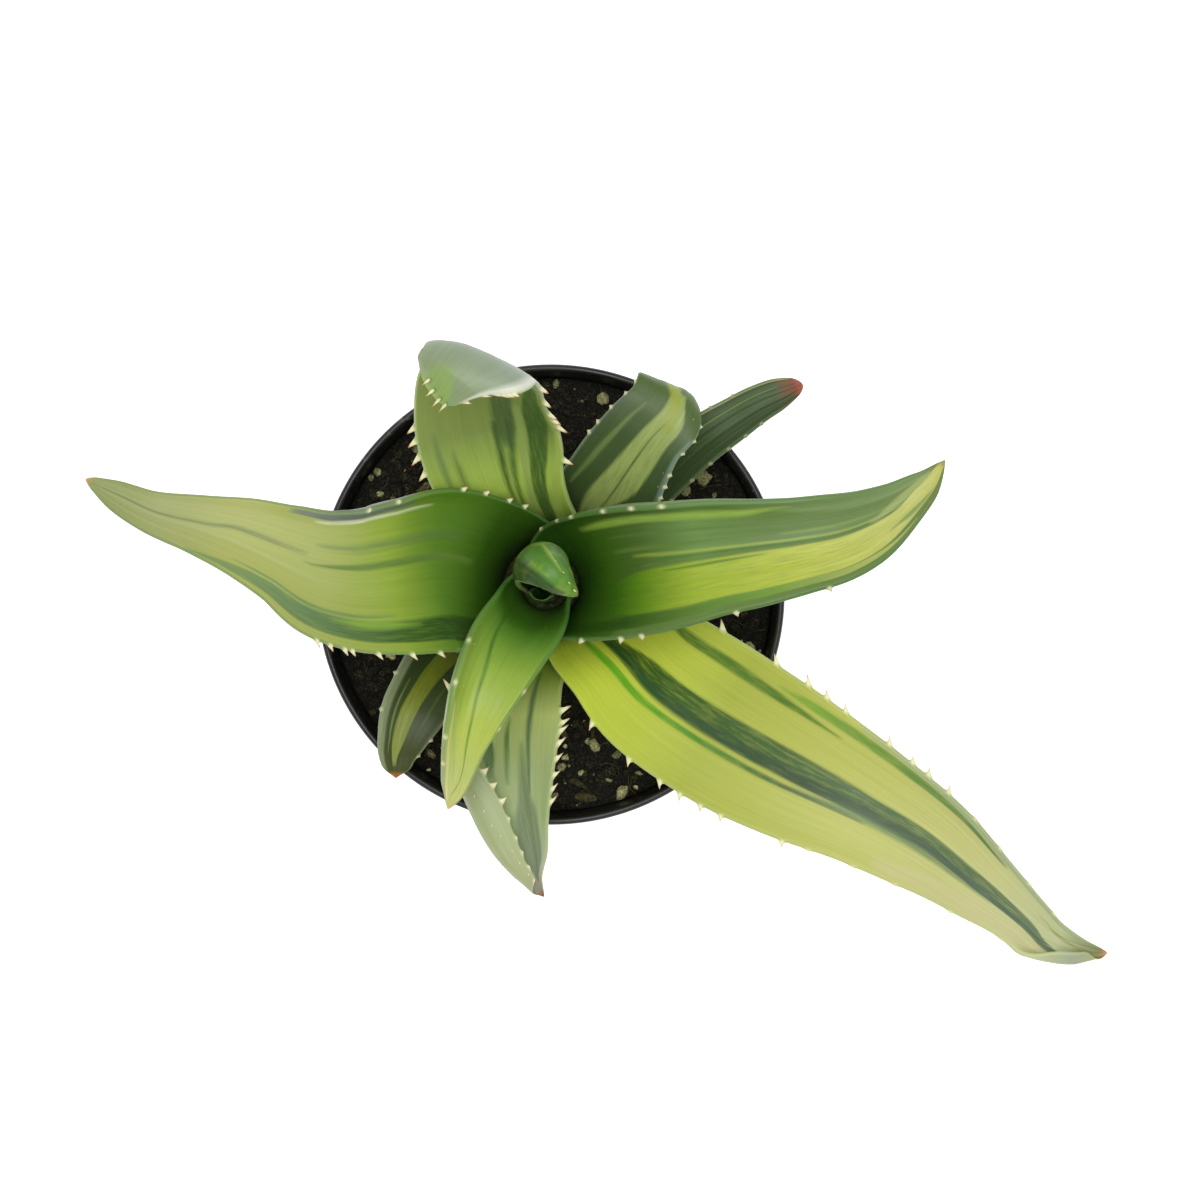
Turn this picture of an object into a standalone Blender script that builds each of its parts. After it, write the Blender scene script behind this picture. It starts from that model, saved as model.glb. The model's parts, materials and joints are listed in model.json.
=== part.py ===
"""A toothed, striped aloe in a round thin-walled nursery pot, filled with peat and pumice.

Metres, +Z up. The origin is on the pot's axis, on the surface the pot stands on.
+X is the right of the plant seen from above, +Y its top.
"""

import math
import random
from dataclasses import dataclass

import bmesh
import bpy
import numpy as np
from mathutils import Vector
from mathutils.bvhtree import BVHTree

MM = 0.001

# Pot, in millimetres.
POT_HEIGHT = 95.0
POT_RIM_RADIUS = 55.0
POT_RIM_WIDTH = 1.8
POT_BAND_DEPTH = 9.0
POT_BASE_RADIUS = 38.0
POT_WALL = 1.1
POT_FLOOR = 1.6
POT_SIDES = 60
POT_OVAL = 1.0155
POT_SHIFT = -1.05
DRAIN_RADIUS = 4.0
DRAIN_RING = 28.5
DRAIN_COUNT = 8
DRAIN_SIDES = 16

# Soil, in millimetres.
SOIL_TOP = 86.0
SOIL_BUMP = 1.3
SOIL_SIDES = 48
SOIL_RINGS = (0.0, 0.07, 0.2, 0.36, 0.52, 0.68, 0.84, 1.0)
CLEARANCE = 0.3
FACET_SLACK = 0.05
GRAIN_COUNT = 36
CHIP_COUNT = 14
GRAIN_SEED = 41

# Coarse pumice grains lying in the open soil: place and half length.
SEEN_GRAINS = (
    (35.5, 28.1, 1.9),
    (31.2, 25.2, 1.5),
    (11.4, 47.2, 1.6),
    (16.0, -47.6, 1.9),
    (9.3, -36.2, 1.8),
    (12.6, -44.6, 1.1),
    (14.8, -38.6, 1.2),
    (-30.0, -38.4, 1.3),
    (-39.6, -14.8, 1.2),
    (46.8, -12.4, 1.4),
)

# Stem, in millimetres: its rings carry the sheaths, from the lowest leaf pair to the heart.
AXIS_X = -2.0
AXIS_Y = 2.0
STEM_FOOT = 58.0
STEM_NECK_RADIUS = 13.0
STEM_SIDES = 28
NECK_SLACK = 0.6
SCAR_REACH = 0.9
RING_HEIGHTS = (88.0, 93.0, 98.0, 103.0, 108.0, 113.0, 118.0, 122.0)
RING_RADII = (17.0, 14.7, 12.4, 10.1, 7.8, 5.5, 3.2, 1.7)

# Leaves, in millimetres.
SHEATH_THICKNESS = 1.9
SHEATH_HEIGHT = 6.0
SHEATH_FLARE = 1.02
EDGE_THICKNESS = 0.95
THINNEST_HALF_WIDTH = 0.35
TIP_LENGTH = 1.6
STATION_STEP = 6.5
TOOTH_BASE = 2.9

# Shares of the half width: where the lines along a blade run, and how soft a crease is.
ACROSS = (1.0, 0.84, 0.62, 0.34, 0.0, -0.34, -0.62, -0.84, -1.0)
FOLD_WIDTH = 0.36


@dataclass(frozen=True)
class Station:
    """One section of a blade: where its middle lies and how it is spread and folded.

    Angles in degrees, lengths in millimetres. Left is to the left hand looking out
    from the stem with the upper face up.
    """

    x: float
    y: float
    z: float
    left: float
    right: float
    bend_left: float
    bend_right: float
    fold_left: float = 0.0
    fold_right: float = 0.0
    crease_left: float = 0.8
    crease_right: float = 0.8
    roll: float = 0.0
    thick: float = 4.0


@dataclass(frozen=True)
class LeafPlan:
    """A leaf: the ring it sits on, where its sheath points and how far it wraps."""

    name: str
    ring: int
    azimuth: float
    wrap: float
    stations: tuple
    teeth_left: tuple
    teeth_right: tuple
    tooth_height: float = 2.6
    tooth_lean: float = 0.0
    sheath_thickness: float = SHEATH_THICKNESS


def hermite(knots, values, at):
    """Smooth curve through values at rising knots, read at the wanted places."""
    knots = np.asarray(knots, dtype=float)
    values = np.asarray(values, dtype=float)
    slopes = np.gradient(values, knots, axis=0)
    index = np.clip(np.searchsorted(knots, at, side="right") - 1, 0, len(knots) - 2)
    span = knots[index + 1] - knots[index]
    t = (at - knots[index]) / span
    shape = (-1,) + (1,) * (values.ndim - 1)
    t = t.reshape(shape)
    span = span.reshape(shape)
    h00 = 2 * t**3 - 3 * t**2 + 1
    h10 = t**3 - 2 * t**2 + t
    h01 = -2 * t**3 + 3 * t**2
    h11 = t**3 - t**2
    low = values[index]
    high = values[index + 1]
    return h00 * low + h10 * span * slopes[index] + h01 * high + h11 * span * slopes[index + 1]


def smooth_step(value):
    """Rise from 0 to 1 without a corner."""
    t = np.clip(value, 0.0, 1.0)
    return t * t * (3.0 - 2.0 * t)


class LeafForm:
    """The surface of one leaf, read at any place along and across it."""

    SAMPLES = 260
    SPREAD = 24

    def __init__(self, plan):
        self.plan = plan
        ring_z = RING_HEIGHTS[plan.ring]
        radius = RING_RADII[plan.ring]
        turn = math.radians(plan.azimuth)
        out = np.array([math.cos(turn), math.sin(turn), 0.0])
        foot = np.array([AXIS_X, AXIS_Y, ring_z]) + out * radius
        half = radius * math.radians(plan.wrap)
        top = plan.stations[0]
        collar = foot + np.array([0.0, 0.0, SHEATH_HEIGHT]) + out * 0.15
        rows = [
            (*foot, half, half, plan.wrap, plan.wrap, 0, 0, top.crease_left, top.crease_right, 0,
             plan.sheath_thickness),
            (*collar, half * SHEATH_FLARE, half * SHEATH_FLARE, plan.wrap, plan.wrap, 0, 0,
             top.crease_left, top.crease_right, 0, plan.sheath_thickness),
        ]
        for s in plan.stations:
            rows.append((s.x, s.y, s.z, s.left, s.right, s.bend_left, s.bend_right, s.fold_left,
                         s.fold_right, s.crease_left, s.crease_right, s.roll, s.thick))
        rows = np.array(rows, dtype=float)
        steps = np.linalg.norm(np.diff(rows[:, :3], axis=0), axis=1)
        self.knots = np.concatenate([[0.0], np.cumsum(steps)])
        self.length = float(self.knots[-1])
        self.rows = rows
        self.grid = np.linspace(0.0, self.length, self.SAMPLES)
        self.track = hermite(self.knots, rows, self.grid)
        self._frames(out)

    def _frames(self, out):
        """Carry the side direction along the middle line without twisting it."""
        path = self.track[:, :3]
        tangents = np.gradient(path, self.grid, axis=0)
        tangents[0] = (0.0, 0.0, 1.0)
        tangents /= np.linalg.norm(tangents, axis=1)[:, None]
        side = np.cross((0.0, 0.0, 1.0), out)
        sides = []
        for tangent in tangents:
            side = side - tangent * np.dot(side, tangent)
            side = side / np.linalg.norm(side)
            sides.append(side)
        self.tangents = tangents
        self.sides = np.array(sides)

    def _read(self, table, s):
        """Row of a table of the middle line at length s."""
        columns = [np.interp(s, self.grid, table[:, c]) for c in range(table.shape[1])]
        return np.array(columns)

    def edge_speed(self, s, hand):
        """How much of the edge goes by per millimetre of the middle line."""
        ends = [self.section(np.clip(s + d, 0.0, self.length), (hand,))[0][0] for d in (-0.4, 0.4)]
        return max(float(np.linalg.norm(ends[1] - ends[0])) / 0.8, 0.5)

    def section(self, s, across):
        """Upper and lower points at length s for each place across (-1 right, +1 left)."""
        row = self._read(self.track, s)
        tangent = self._read(self.tangents, s)
        tangent /= np.linalg.norm(tangent)
        side = self._read(self.sides, s)
        side -= tangent * np.dot(side, tangent)
        side /= np.linalg.norm(side)
        roll = math.radians(row[11])
        normal = np.cross(tangent, side)
        side, normal = (side * math.cos(roll) + normal * math.sin(roll),
                        normal * math.cos(roll) - side * math.sin(roll))
        upper = []
        lower = []
        outward = []
        for place in across:
            left = place >= 0.0
            width = max(row[3] if left else row[4], THINNEST_HALF_WIDTH)
            bend = math.radians(row[5] if left else row[6])
            fold = math.radians(row[7] if left else row[8])
            crease = row[9] if left else row[10]
            hand = 1.0 if left else -1.0
            reach = abs(place)
            u = (np.arange(self.SPREAD) + 0.5) / self.SPREAD * reach
            angle = bend * u + fold * smooth_step((u - crease) / FOLD_WIDTH + 0.5)
            step = width * reach / self.SPREAD
            lateral = float(np.sum(np.cos(angle))) * step
            rise = float(np.sum(np.sin(angle))) * step
            end = bend * reach + fold * float(smooth_step((reach - crease) / FOLD_WIDTH + 0.5))
            along = side * hand * math.cos(end) + normal * math.sin(end)
            face = normal * math.cos(end) - side * hand * math.sin(end)
            body = max(row[12] - EDGE_THICKNESS, 0.0) * (1.0 - reach * reach) ** 0.75
            body = min(body, width * 0.7)
            point = row[:3] + side * hand * lateral + normal * rise
            upper.append(point)
            lower.append(point - face * (EDGE_THICKNESS + body))
            outward.append(along)
        return np.array(upper), np.array(lower), np.array(outward), tangent


def tooth_stations(form, plan):
    """Lengths at which sections stand, so that each tooth has a pair of its own."""
    wanted = []
    for hand, places in ((1.0, plan.teeth_left), (-1.0, plan.teeth_right)):
        for s in places:
            half = TOOTH_BASE / 2 / form.edge_speed(s, hand)
            wanted.append((s - half, half))
            wanted.append((s + half, half))
    wanted.sort()
    merged = []
    for s, half in wanted:
        if merged and s - merged[-1][-1] < half * 0.8:
            merged[-1].append(s)
        else:
            merged.append([s])
    end = form.length - TIP_LENGTH
    stations = [float(np.mean(group)) for group in merged]
    stations = [s for s in stations if 1.5 < s < end - 0.5]
    full = [0.0]
    for s in stations + [end]:
        start = full[-1]
        count = max(1, int(math.ceil((s - start) / STATION_STEP)))
        for k in range(1, count + 1):
            full.append(start + (s - start) * k / count)
    return full


def leaf_mesh(plan):
    """Closed body of a leaf with its marginal teeth drawn out of the edge."""
    form = LeafForm(plan)
    stations = tooth_stations(form, plan)
    mesh = bmesh.new()
    rings = []
    for s in stations:
        upper, lower, _, _ = form.section(s, ACROSS)
        top = [mesh.verts.new(Vector(p) * MM) for p in upper]
        under = [mesh.verts.new(Vector(p) * MM) for p in lower]
        rings.append((top, under))
    teeth = {}
    for hand, places in ((0, plan.teeth_left), (1, plan.teeth_right)):
        for s in places:
            for i in range(len(stations) - 1):
                if stations[i] <= s < stations[i + 1]:
                    teeth[(i, hand)] = s
    last = len(ACROSS) - 1
    for i in range(len(stations) - 1):
        top_a, under_a = rings[i]
        top_b, under_b = rings[i + 1]
        for j in range(last):
            mesh.faces.new((top_a[j], top_a[j + 1], top_b[j + 1], top_b[j]))
            mesh.faces.new((under_a[j], under_b[j], under_b[j + 1], under_a[j + 1]))
        for hand, j in ((0, 0), (1, last)):
            quad = (top_a[j], top_b[j], under_b[j], under_a[j])
            if (i, hand) not in teeth:
                mesh.faces.new(quad)
                continue
            s = teeth[(i, hand)]
            upper, lower, outward, tangent = form.section(s, (ACROSS[j],))
            size = plan.tooth_height * min(1.0, 0.55 + (form.length - s) / form.length * 0.6)
            lean = size * plan.tooth_lean
            tip = (upper[0] + lower[0]) / 2 + outward[0] * size + tangent * lean
            apex = mesh.verts.new(Vector(tip) * MM)
            for k in range(4):
                mesh.faces.new((quad[k], quad[(k + 1) % 4], apex))
    top, under = rings[0]
    for j in range(last):
        mesh.faces.new((top[j], under[j], under[j + 1], top[j + 1]))
    top, under = rings[-1]
    loop = top + under[::-1]
    point = mesh.verts.new(Vector(form.track[-1, :3]) * MM)
    for k in range(len(loop)):
        mesh.faces.new((loop[k], loop[(k + 1) % len(loop)], point))
    bmesh.ops.recalc_face_normals(mesh, faces=mesh.faces)
    return mesh


LEAVES = (
    LeafPlan(
        name="leaf_southeast", ring=2, azimuth=-33.0, wrap=62.0,
        stations=(
            Station(11.6, -7.3, 112.0, 15.5, 15.5, 48, 48, thick=3.6),
            Station(17.6, -12.4, 121.0, 16.8, 16.8, 36, 36, thick=4.6),
            Station(24.9, -20.4, 128.0, 18.3, 18.0, 28, 28, thick=5.4),
            Station(34.7, -27.4, 133.0, 19.0, 18.3, 24, 24, thick=5.8),
            Station(44.9, -33.6, 137.0, 18.5, 18.0, 22, 22, thick=5.8),
            Station(54.0, -38.7, 140.0, 17.6, 16.9, 22, 22, thick=5.4),
            Station(71.0, -47.6, 143.0, 14.2, 14.1, 22, 22, thick=4.8),
            Station(85.8, -56.7, 142.0, 11.3, 11.8, 24, 24, thick=4.0),
            Station(96.9, -66.0, 139.0, 8.9, 8.5, 26, 26, thick=3.4),
            Station(107.5, -74.4, 136.0, 6.2, 6.6, 28, 28, thick=2.6),
            Station(113.1, -78.3, 134.4, 4.6, 7.6, 30, 20, 0, 100, 0.8, 0.52, thick=2.1),
            Station(119.1, -80.6, 134.0, 2.8, 6.4, 30, 14, 0, 125, 0.8, 0.42, thick=1.6),
            Station(122.6, -81.2, 134.4, 1.6, 5.4, 20, 10, 0, 120, 0.8, 0.36, thick=1.2),
            Station(126.3, -81.7, 135.4, 0.5, 0.8, 10, 10, 0, 40, 0.8, 0.4, thick=0.9),
        ),
        teeth_left=(46.8, 61.1, 70.2, 75.3, 81.4, 93.6, 99.7, 103.9, 109.2, 116.5, 125.2, 136.4, 146.0),
        teeth_right=(35.6, 44.8, 52.9, 58.0, 63.1, 68.2, 82.4, 88.5, 99.7, 110.9, 126.2, 139.4),
        tooth_height=2.4,
        tooth_lean=0.0,
    ),
    LeafPlan(
        name="leaf_west", ring=3, azimuth=180.0, wrap=112.0,
        stations=(
            Station(-13.2, 2.2, 118.0, 20.2, 20.2, 80, 80, thick=3.4),
            Station(-16.9, 3.3, 126.0, 20.0, 20.0, 56, 56, thick=4.2),
            Station(-25.8, 5.1, 134.5, 19.4, 19.8, 34, 34, 0, 30, 0.8, 0.85, thick=5.0),
            Station(-34.6, 3.7, 141.0, 18.0, 18.7, 28, 24, 0, 60, 0.8, 0.85, thick=5.4),
            Station(-43.4, 2.8, 145.0, 16.2, 17.4, 24, 20, 0, 72, 0.8, 0.85, thick=5.2),
            Station(-52.1, 4.3, 148.0, 14.3, 15.3, 22, 22, 0, 50, 0.8, 0.85, thick=4.8),
            Station(-61.0, 8.1, 150.0, 10.2, 12.5, 22, 24, 0, 20, 0.8, 0.85, thick=4.2),
            Station(-69.8, 12.1, 151.0, 8.3, 9.9, 24, 24, thick=3.6),
            Station(-78.7, 15.3, 151.0, 6.8, 7.0, 26, 26, thick=3.0),
            Station(-90.1, 18.6, 150.0, 4.8, 4.6, 28, 28, thick=2.4),
            Station(-99.2, 22.9, 149.0, 2.9, 2.9, 28, 28, thick=1.8),
            Station(-104.7, 25.8, 149.0, 0.6, 0.9, 10, 10, thick=1.0),
        ),
        teeth_left=(43.3, 48.7, 54.9, 58.9, 62.0, 65.1),
        teeth_right=(21.6, 25.5, 30.9, 34.8, 47.9, 56.4),
        tooth_height=2.3,
        tooth_lean=-0.25,
    ),
    LeafPlan(
        name="leaf_east", ring=4, azimuth=0.0, wrap=122.0,
        stations=(
            Station(7.5, 2.6, 122.0, 17.6, 16.4, 86, 84, thick=3.2),
            Station(12.1, 3.8, 133.0, 17.4, 16.0, 66, 50, 24, 0, 0.85, 0.8, thick=4.2),
            Station(19.7, 5.4, 142.0, 16.6, 15.6, 54, 26, 52, 0, 0.85, 0.8, thick=5.0),
            Station(28.6, 6.7, 148.0, 15.1, 14.6, 46, 18, 60, 0, 0.85, 0.8, thick=5.2),
            Station(37.6, 8.1, 151.0, 13.8, 13.1, 44, 14, 54, 0, 0.85, 0.8, thick=5.0),
            Station(46.4, 9.4, 153.0, 12.2, 12.3, 44, 12, 46, 0, 0.85, 0.8, thick=4.6),
            Station(55.3, 10.7, 154.0, 11.0, 11.0, 44, 12, 36, 0, 0.85, 0.8, thick=4.2),
            Station(64.2, 12.5, 154.0, 10.1, 9.8, 44, 12, 24, 0, 0.85, 0.8, thick=3.8),
            Station(72.1, 15.7, 153.0, 8.1, 7.9, 40, 14, 12, 0, 0.85, 0.8, thick=3.2),
            Station(78.9, 19.7, 152.0, 6.2, 4.8, 36, 18, thick=2.6),
            Station(84.0, 24.2, 152.0, 4.1, 2.7, 30, 24, thick=2.0),
            Station(87.8, 30.0, 152.0, 0.4, 0.4, 10, 10, thick=1.0),
        ),
        teeth_left=(14.5, 20.3, 27.5, 36.2, 42.8, 48.6),
        teeth_right=(25.4, 34.8, 39.9, 60.9, 81.2),
        tooth_height=1.6,
        tooth_lean=0.0,
    ),
    LeafPlan(
        name="leaf_south_young", ring=5, azimuth=-113.0, wrap=124.0,
        stations=(
            Station(-6.2, -6.0, 128.0, 11.4, 11.4, 92, 96, thick=2.6),
            Station(-8.0, -8.6, 137.0, 11.0, 10.6, 62, 88, thick=3.4),
            Station(-10.8, -12.3, 145.0, 10.0, 9.8, 34, 78, thick=4.0),
            Station(-13.0, -16.5, 149.5, 9.0, 9.4, 22, 70, 0, 10, 0.8, 0.4, thick=4.2),
            Station(-15.7, -23.0, 152.0, 7.4, 8.8, 14, 62, 0, 24, 0.8, 0.4, thick=4.0),
            Station(-17.5, -28.6, 151.5, 5.8, 7.7, 12, 60, 0, 30, 0.8, 0.4, thick=3.6),
            Station(-19.2, -34.1, 148.5, 4.3, 6.1, 12, 60, 0, 26, 0.8, 0.4, thick=3.0),
            Station(-20.7, -40.1, 144.0, 3.1, 4.4, 14, 56, 0, 20, 0.8, 0.4, thick=2.4),
            Station(-22.2, -45.3, 139.0, 1.9, 2.6, 20, 50, thick=1.8),
            Station(-24.0, -49.0, 135.0, 0.4, 0.4, 10, 10, thick=1.0),
        ),
        teeth_left=(44.0, 54.0),
        teeth_right=(40.3, 47.9, 57.6, 65.0),
        tooth_height=0.8,
        tooth_lean=0.1,
    ),
    LeafPlan(
        name="leaf_centre_hood", ring=6, azimuth=100.0, wrap=126.0, sheath_thickness=1.5,
        stations=(
            Station(-2.4, 6.0, 130.0, 7.4, 7.4, 112, 112, thick=1.9),
            Station(-2.7, 7.8, 139.0, 8.6, 8.2, 96, 96, thick=2.2),
            Station(-2.8, 9.0, 147.0, 8.8, 7.8, 92, 92, thick=2.3),
            Station(-2.5, 9.4, 153.0, 8.8, 7.0, 92, 88, thick=2.3),
            Station(-1.5, 8.8, 158.0, 8.4, 5.6, 92, 80, thick=2.1),
            Station(0.0, 7.0, 161.2, 7.2, 4.3, 88, 70, thick=1.9),
            Station(1.5, 5.0, 162.2, 5.6, 3.4, 80, 60, thick=1.7),
            Station(3.0, 2.9, 161.0, 3.8, 2.6, 70, 50, thick=1.5),
            Station(4.5, 1.1, 158.6, 2.0, 1.6, 54, 40, thick=1.3),
            Station(5.8, -0.4, 155.8, 0.4, 0.4, 10, 10, thick=1.0),
        ),
        teeth_left=(),
        teeth_right=(),
        tooth_height=0.8,
        tooth_lean=0.0,
    ),
    LeafPlan(
        name="leaf_heart", ring=7, azimuth=-100.0, wrap=78.0, sheath_thickness=0.95,
        stations=(
            Station(-2.6, -0.2, 131.0, 2.6, 2.6, 84, 84, thick=1.05),
            Station(-2.9, -0.9, 136.0, 3.0, 3.0, 78, 78, thick=1.1),
            Station(-3.0, -1.3, 140.0, 2.5, 2.5, 66, 66, thick=1.1),
            Station(-3.0, -1.2, 143.5, 0.4, 0.4, 10, 10, thick=0.95),
        ),
        teeth_left=(),
        teeth_right=(),
        tooth_height=0.6,
        tooth_lean=0.0,
    ),
    LeafPlan(
        name="leaf_north", ring=2, azimuth=108.0, wrap=62.0,
        stations=(
            Station(-6.4, 15.6, 110.0, 14.4, 13.4, 50, 50, thick=3.4),
            Station(-8.8, 20.5, 119.0, 15.2, 12.9, 40, 40, thick=4.2),
            Station(-11.2, 25.9, 127.0, 15.6, 13.9, 32, 32, roll=-2, thick=4.8),
            Station(-13.2, 32.2, 134.0, 16.5, 15.8, 28, 28, roll=-6, thick=5.0),
            Station(-14.8, 37.9, 141.0, 16.4, 16.4, 24, 24, roll=-12, thick=4.8),
            Station(-15.6, 42.6, 149.0, 15.4, 15.6, 20, 20, roll=-20, thick=4.4),
            Station(-15.6, 46.3, 157.0, 14.4, 14.8, 16, 16, roll=-27, thick=3.8),
            Station(-15.2, 48.6, 164.0, 13.0, 14.0, 10, 10, roll=-31, thick=3.2),
            Station(-15.6, 50.3, 169.6, 13.2, 13.4, 14, 6, roll=-36, thick=2.8),
            Station(-16.7, 50.7, 173.8, 12.2, 13.6, 26, 6, roll=-46, thick=2.6),
            Station(-18.4, 49.3, 176.0, 11.2, 10.2, 40, 6, roll=-56, thick=2.4),
            Station(-20.6, 46.6, 176.6, 11.0, 6.4, 44, 6, roll=-61, thick=2.2),
            Station(-22.6, 44.1, 175.8, 10.8, 4.2, 44, 10, roll=-61, thick=1.8),
            Station(-24.6, 41.9, 174.4, 8.8, 2.2, 44, 10, roll=-59, thick=1.2),
        ),
        teeth_left=(36.5, 43.8, 48.3, 52.2, 55.6, 92.0, 96.0, 99.5),
        teeth_right=(38.0, 53.5, 58.7, 63.2, 72.8, 88.6, 90.3, 91.3, 92.2, 93.1, 94.2, 97.3),
        tooth_height=2.7,
        tooth_lean=-0.5,
    ),
    LeafPlan(
        name="leaf_northeast_broad", ring=1, azimuth=55.0, wrap=64.0,
        stations=(
            Station(7.4, 15.3, 103.0, 13.6, 13.6, 44, 44, thick=3.2),
            Station(10.0, 19.3, 111.0, 12.8, 12.8, 34, 34, thick=4.0),
            Station(13.7, 25.0, 118.0, 12.0, 12.0, 28, 28, thick=4.4),
            Station(17.6, 31.5, 123.0, 11.1, 10.5, 24, 24, roll=-2, thick=4.4),
            Station(21.5, 37.2, 126.5, 10.0, 9.4, 14, 12, roll=-5, thick=4.0),
            Station(25.6, 41.9, 128.0, 9.5, 9.4, 4, -8, roll=-8, thick=3.2),
            Station(28.6, 46.0, 126.8, 10.4, 7.6, 4, -40, roll=-12, thick=2.8),
            Station(29.6, 47.6, 123.6, 10.4, 6.4, 0, -54, roll=-14, thick=2.6),
            Station(29.5, 47.6, 119.8, 7.8, 5.6, 0, -50, roll=-14, thick=2.4),
            Station(28.8, 46.9, 116.4, 4.8, 4.2, 0, -30, roll=-12, thick=2.0),
            Station(27.7, 45.8, 113.8, 0.5, 0.5, 0, 0, roll=-10, thick=1.0),
        ),
        teeth_left=(38.8, 41.8, 45.7, 49.5, 54.3),
        teeth_right=(34.9, 38.1, 41.2, 48.2, 51.7, 54.8),
        tooth_height=1.5,
        tooth_lean=0.2,
    ),
    LeafPlan(
        name="leaf_northeast_narrow", ring=0, azimuth=38.0, wrap=60.0,
        stations=(
            Station(12.6, 13.7, 96.0, 13.4, 13.4, 42, 42, thick=2.8),
            Station(16.6, 18.4, 101.0, 9.8, 9.8, 30, 30, thick=3.6),
            Station(22.0, 24.9, 104.5, 8.0, 6.4, 24, 24, thick=4.0),
            Station(28.4, 31.0, 106.5, 6.9, 5.9, 20, 20, thick=3.8),
            Station(34.9, 36.8, 108.0, 5.6, 5.9, 20, 20, thick=3.4),
            Station(41.9, 41.7, 109.0, 4.5, 5.6, 20, 20, thick=3.0),
            Station(47.7, 44.9, 110.0, 4.2, 4.6, 20, 20, thick=2.6),
            Station(53.4, 47.2, 110.5, 3.7, 3.3, 20, 20, thick=2.0),
            Station(58.3, 49.2, 110.5, 1.8, 1.4, 10, 10, thick=1.2),
        ),
        teeth_left=(30.0, 37.0, 43.0, 49.0, 54.5),
        teeth_right=(28.0, 35.0, 41.0, 47.0, 52.5, 57.5),
        tooth_height=0.7,
        tooth_lean=0.2,
    ),
    LeafPlan(
        name="leaf_southwest", ring=0, azimuth=-140.0, wrap=62.0,
        stations=(
            Station(-16.9, -10.1, 97.0, 9.2, 14.0, 30, 44, thick=2.8),
            Station(-21.3, -12.0, 102.0, 7.8, 10.4, 24, 32, thick=3.6),
            Station(-26.3, -15.7, 106.0, 9.0, 8.4, 24, 24, thick=4.2),
            Station(-31.1, -22.4, 110.0, 8.6, 7.2, 22, 22, thick=4.2),
            Station(-34.0, -28.5, 112.0, 7.7, 6.8, 22, 22, thick=3.8),
            Station(-35.9, -34.1, 112.0, 5.9, 5.4, 22, 22, thick=3.2),
            Station(-36.9, -38.3, 111.0, 4.2, 4.2, 22, 22, thick=2.6),
            Station(-37.1, -40.9, 110.5, 3.1, 2.9, 22, 22, thick=2.0),
            Station(-37.2, -43.1, 110.0, 0.5, 0.5, 10, 10, thick=1.1),
        ),
        teeth_left=(38.0, 44.0, 49.0),
        teeth_right=(33.0, 41.0),
        tooth_height=0.9,
        tooth_lean=0.2,
    ),
    LeafPlan(
        name="leaf_south_folded", ring=1, azimuth=-100.0, wrap=66.0,
        stations=(
            Station(-5.1, -13.4, 102.0, 12.4, 15.4, 40, 56, thick=2.9),
            Station(-7.6, -17.5, 108.0, 11.0, 15.0, 30, 44, thick=4.0),
            Station(-10.3, -23.5, 114.0, 12.4, 14.2, 24, 34, thick=4.6),
            Station(-11.9, -30.4, 118.0, 13.8, 13.4, 20, 30, 0, 20, 0.8, 0.7, thick=4.8),
            Station(-11.3, -38.4, 121.0, 12.2, 14.6, 18, 20, 0, 110, 0.8, 0.63, thick=4.4),
            Station(-9.9, -46.4, 122.5, 9.8, 14.4, 18, 14, 0, 150, 0.8, 0.57, thick=3.8),
            Station(-7.8, -54.5, 123.0, 6.8, 12.1, 16, 12, 0, 158, 0.8, 0.54, thick=3.2),
            Station(-5.7, -61.0, 122.5, 4.4, 8.4, 16, 12, 0, 155, 0.8, 0.53, thick=2.6),
            Station(-4.1, -66.1, 121.5, 1.5, 4.4, 16, 16, 0, 130, 0.8, 0.49, thick=1.9),
            Station(-2.3, -70.2, 120.0, 0.3, 0.4, 10, 10, thick=1.0),
        ),
        teeth_left=(28.6, 33.4, 37.2, 40.6, 44.2, 48.2, 51.6, 54.6),
        teeth_right=(28.7, 35.8, 45.4, 48.4, 52.0, 55.9, 60.2, 63.8, 67.3, 70.7),
        tooth_height=2.5,
        tooth_lean=-0.6,
    ),
)


def material(name, colour, roughness):
    """Plain surface colour of a piece."""
    mat = bpy.data.materials.new(name)
    mat.use_nodes = True
    shader = mat.node_tree.nodes["Principled BSDF"]
    shader.inputs["Base Color"].default_value = (*colour, 1.0)
    shader.inputs["Roughness"].default_value = roughness
    shader.inputs["Metallic"].default_value = 0.0
    mat.diffuse_color = (*colour, 1.0)
    return mat


def place(name, mesh, mat, smooth=False):
    """Turn a finished mesh into the named piece."""
    data = bpy.data.meshes.new(name)
    mesh.to_mesh(data)
    mesh.free()
    data.materials.append(mat)
    for face in data.polygons:
        face.use_smooth = smooth
    piece = bpy.data.objects.new(name, data)
    bpy.context.scene.collection.objects.link(piece)
    return piece


def revolve(profile, sides, centre=(0.0, 0.0)):
    """Body of revolution of a closed profile of (radius, height), ends on the axis allowed."""
    mesh = bmesh.new()
    rings = []
    for radius, height in profile:
        if radius < 1e-6:
            rings.append([mesh.verts.new((centre[0] * MM, centre[1] * MM, height * MM))])
            continue
        ring = []
        for k in range(sides):
            turn = 2 * math.pi * k / sides
            x = centre[0] + radius * math.cos(turn)
            y = centre[1] + radius * math.sin(turn)
            ring.append(mesh.verts.new((x * MM, y * MM, height * MM)))
        rings.append(ring)
    count = len(rings)
    closed = len(rings[0]) > 1
    for i in range(count if closed else count - 1):
        low = rings[i]
        high = rings[(i + 1) % count]
        for k in range(sides):
            n = (k + 1) % sides
            if len(low) == 1:
                mesh.faces.new((low[0], high[n], high[k]))
            elif len(high) == 1:
                mesh.faces.new((low[k], low[n], high[0]))
            else:
                mesh.faces.new((low[k], low[n], high[n], high[k]))
    bmesh.ops.recalc_face_normals(mesh, faces=mesh.faces)
    return mesh


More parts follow.
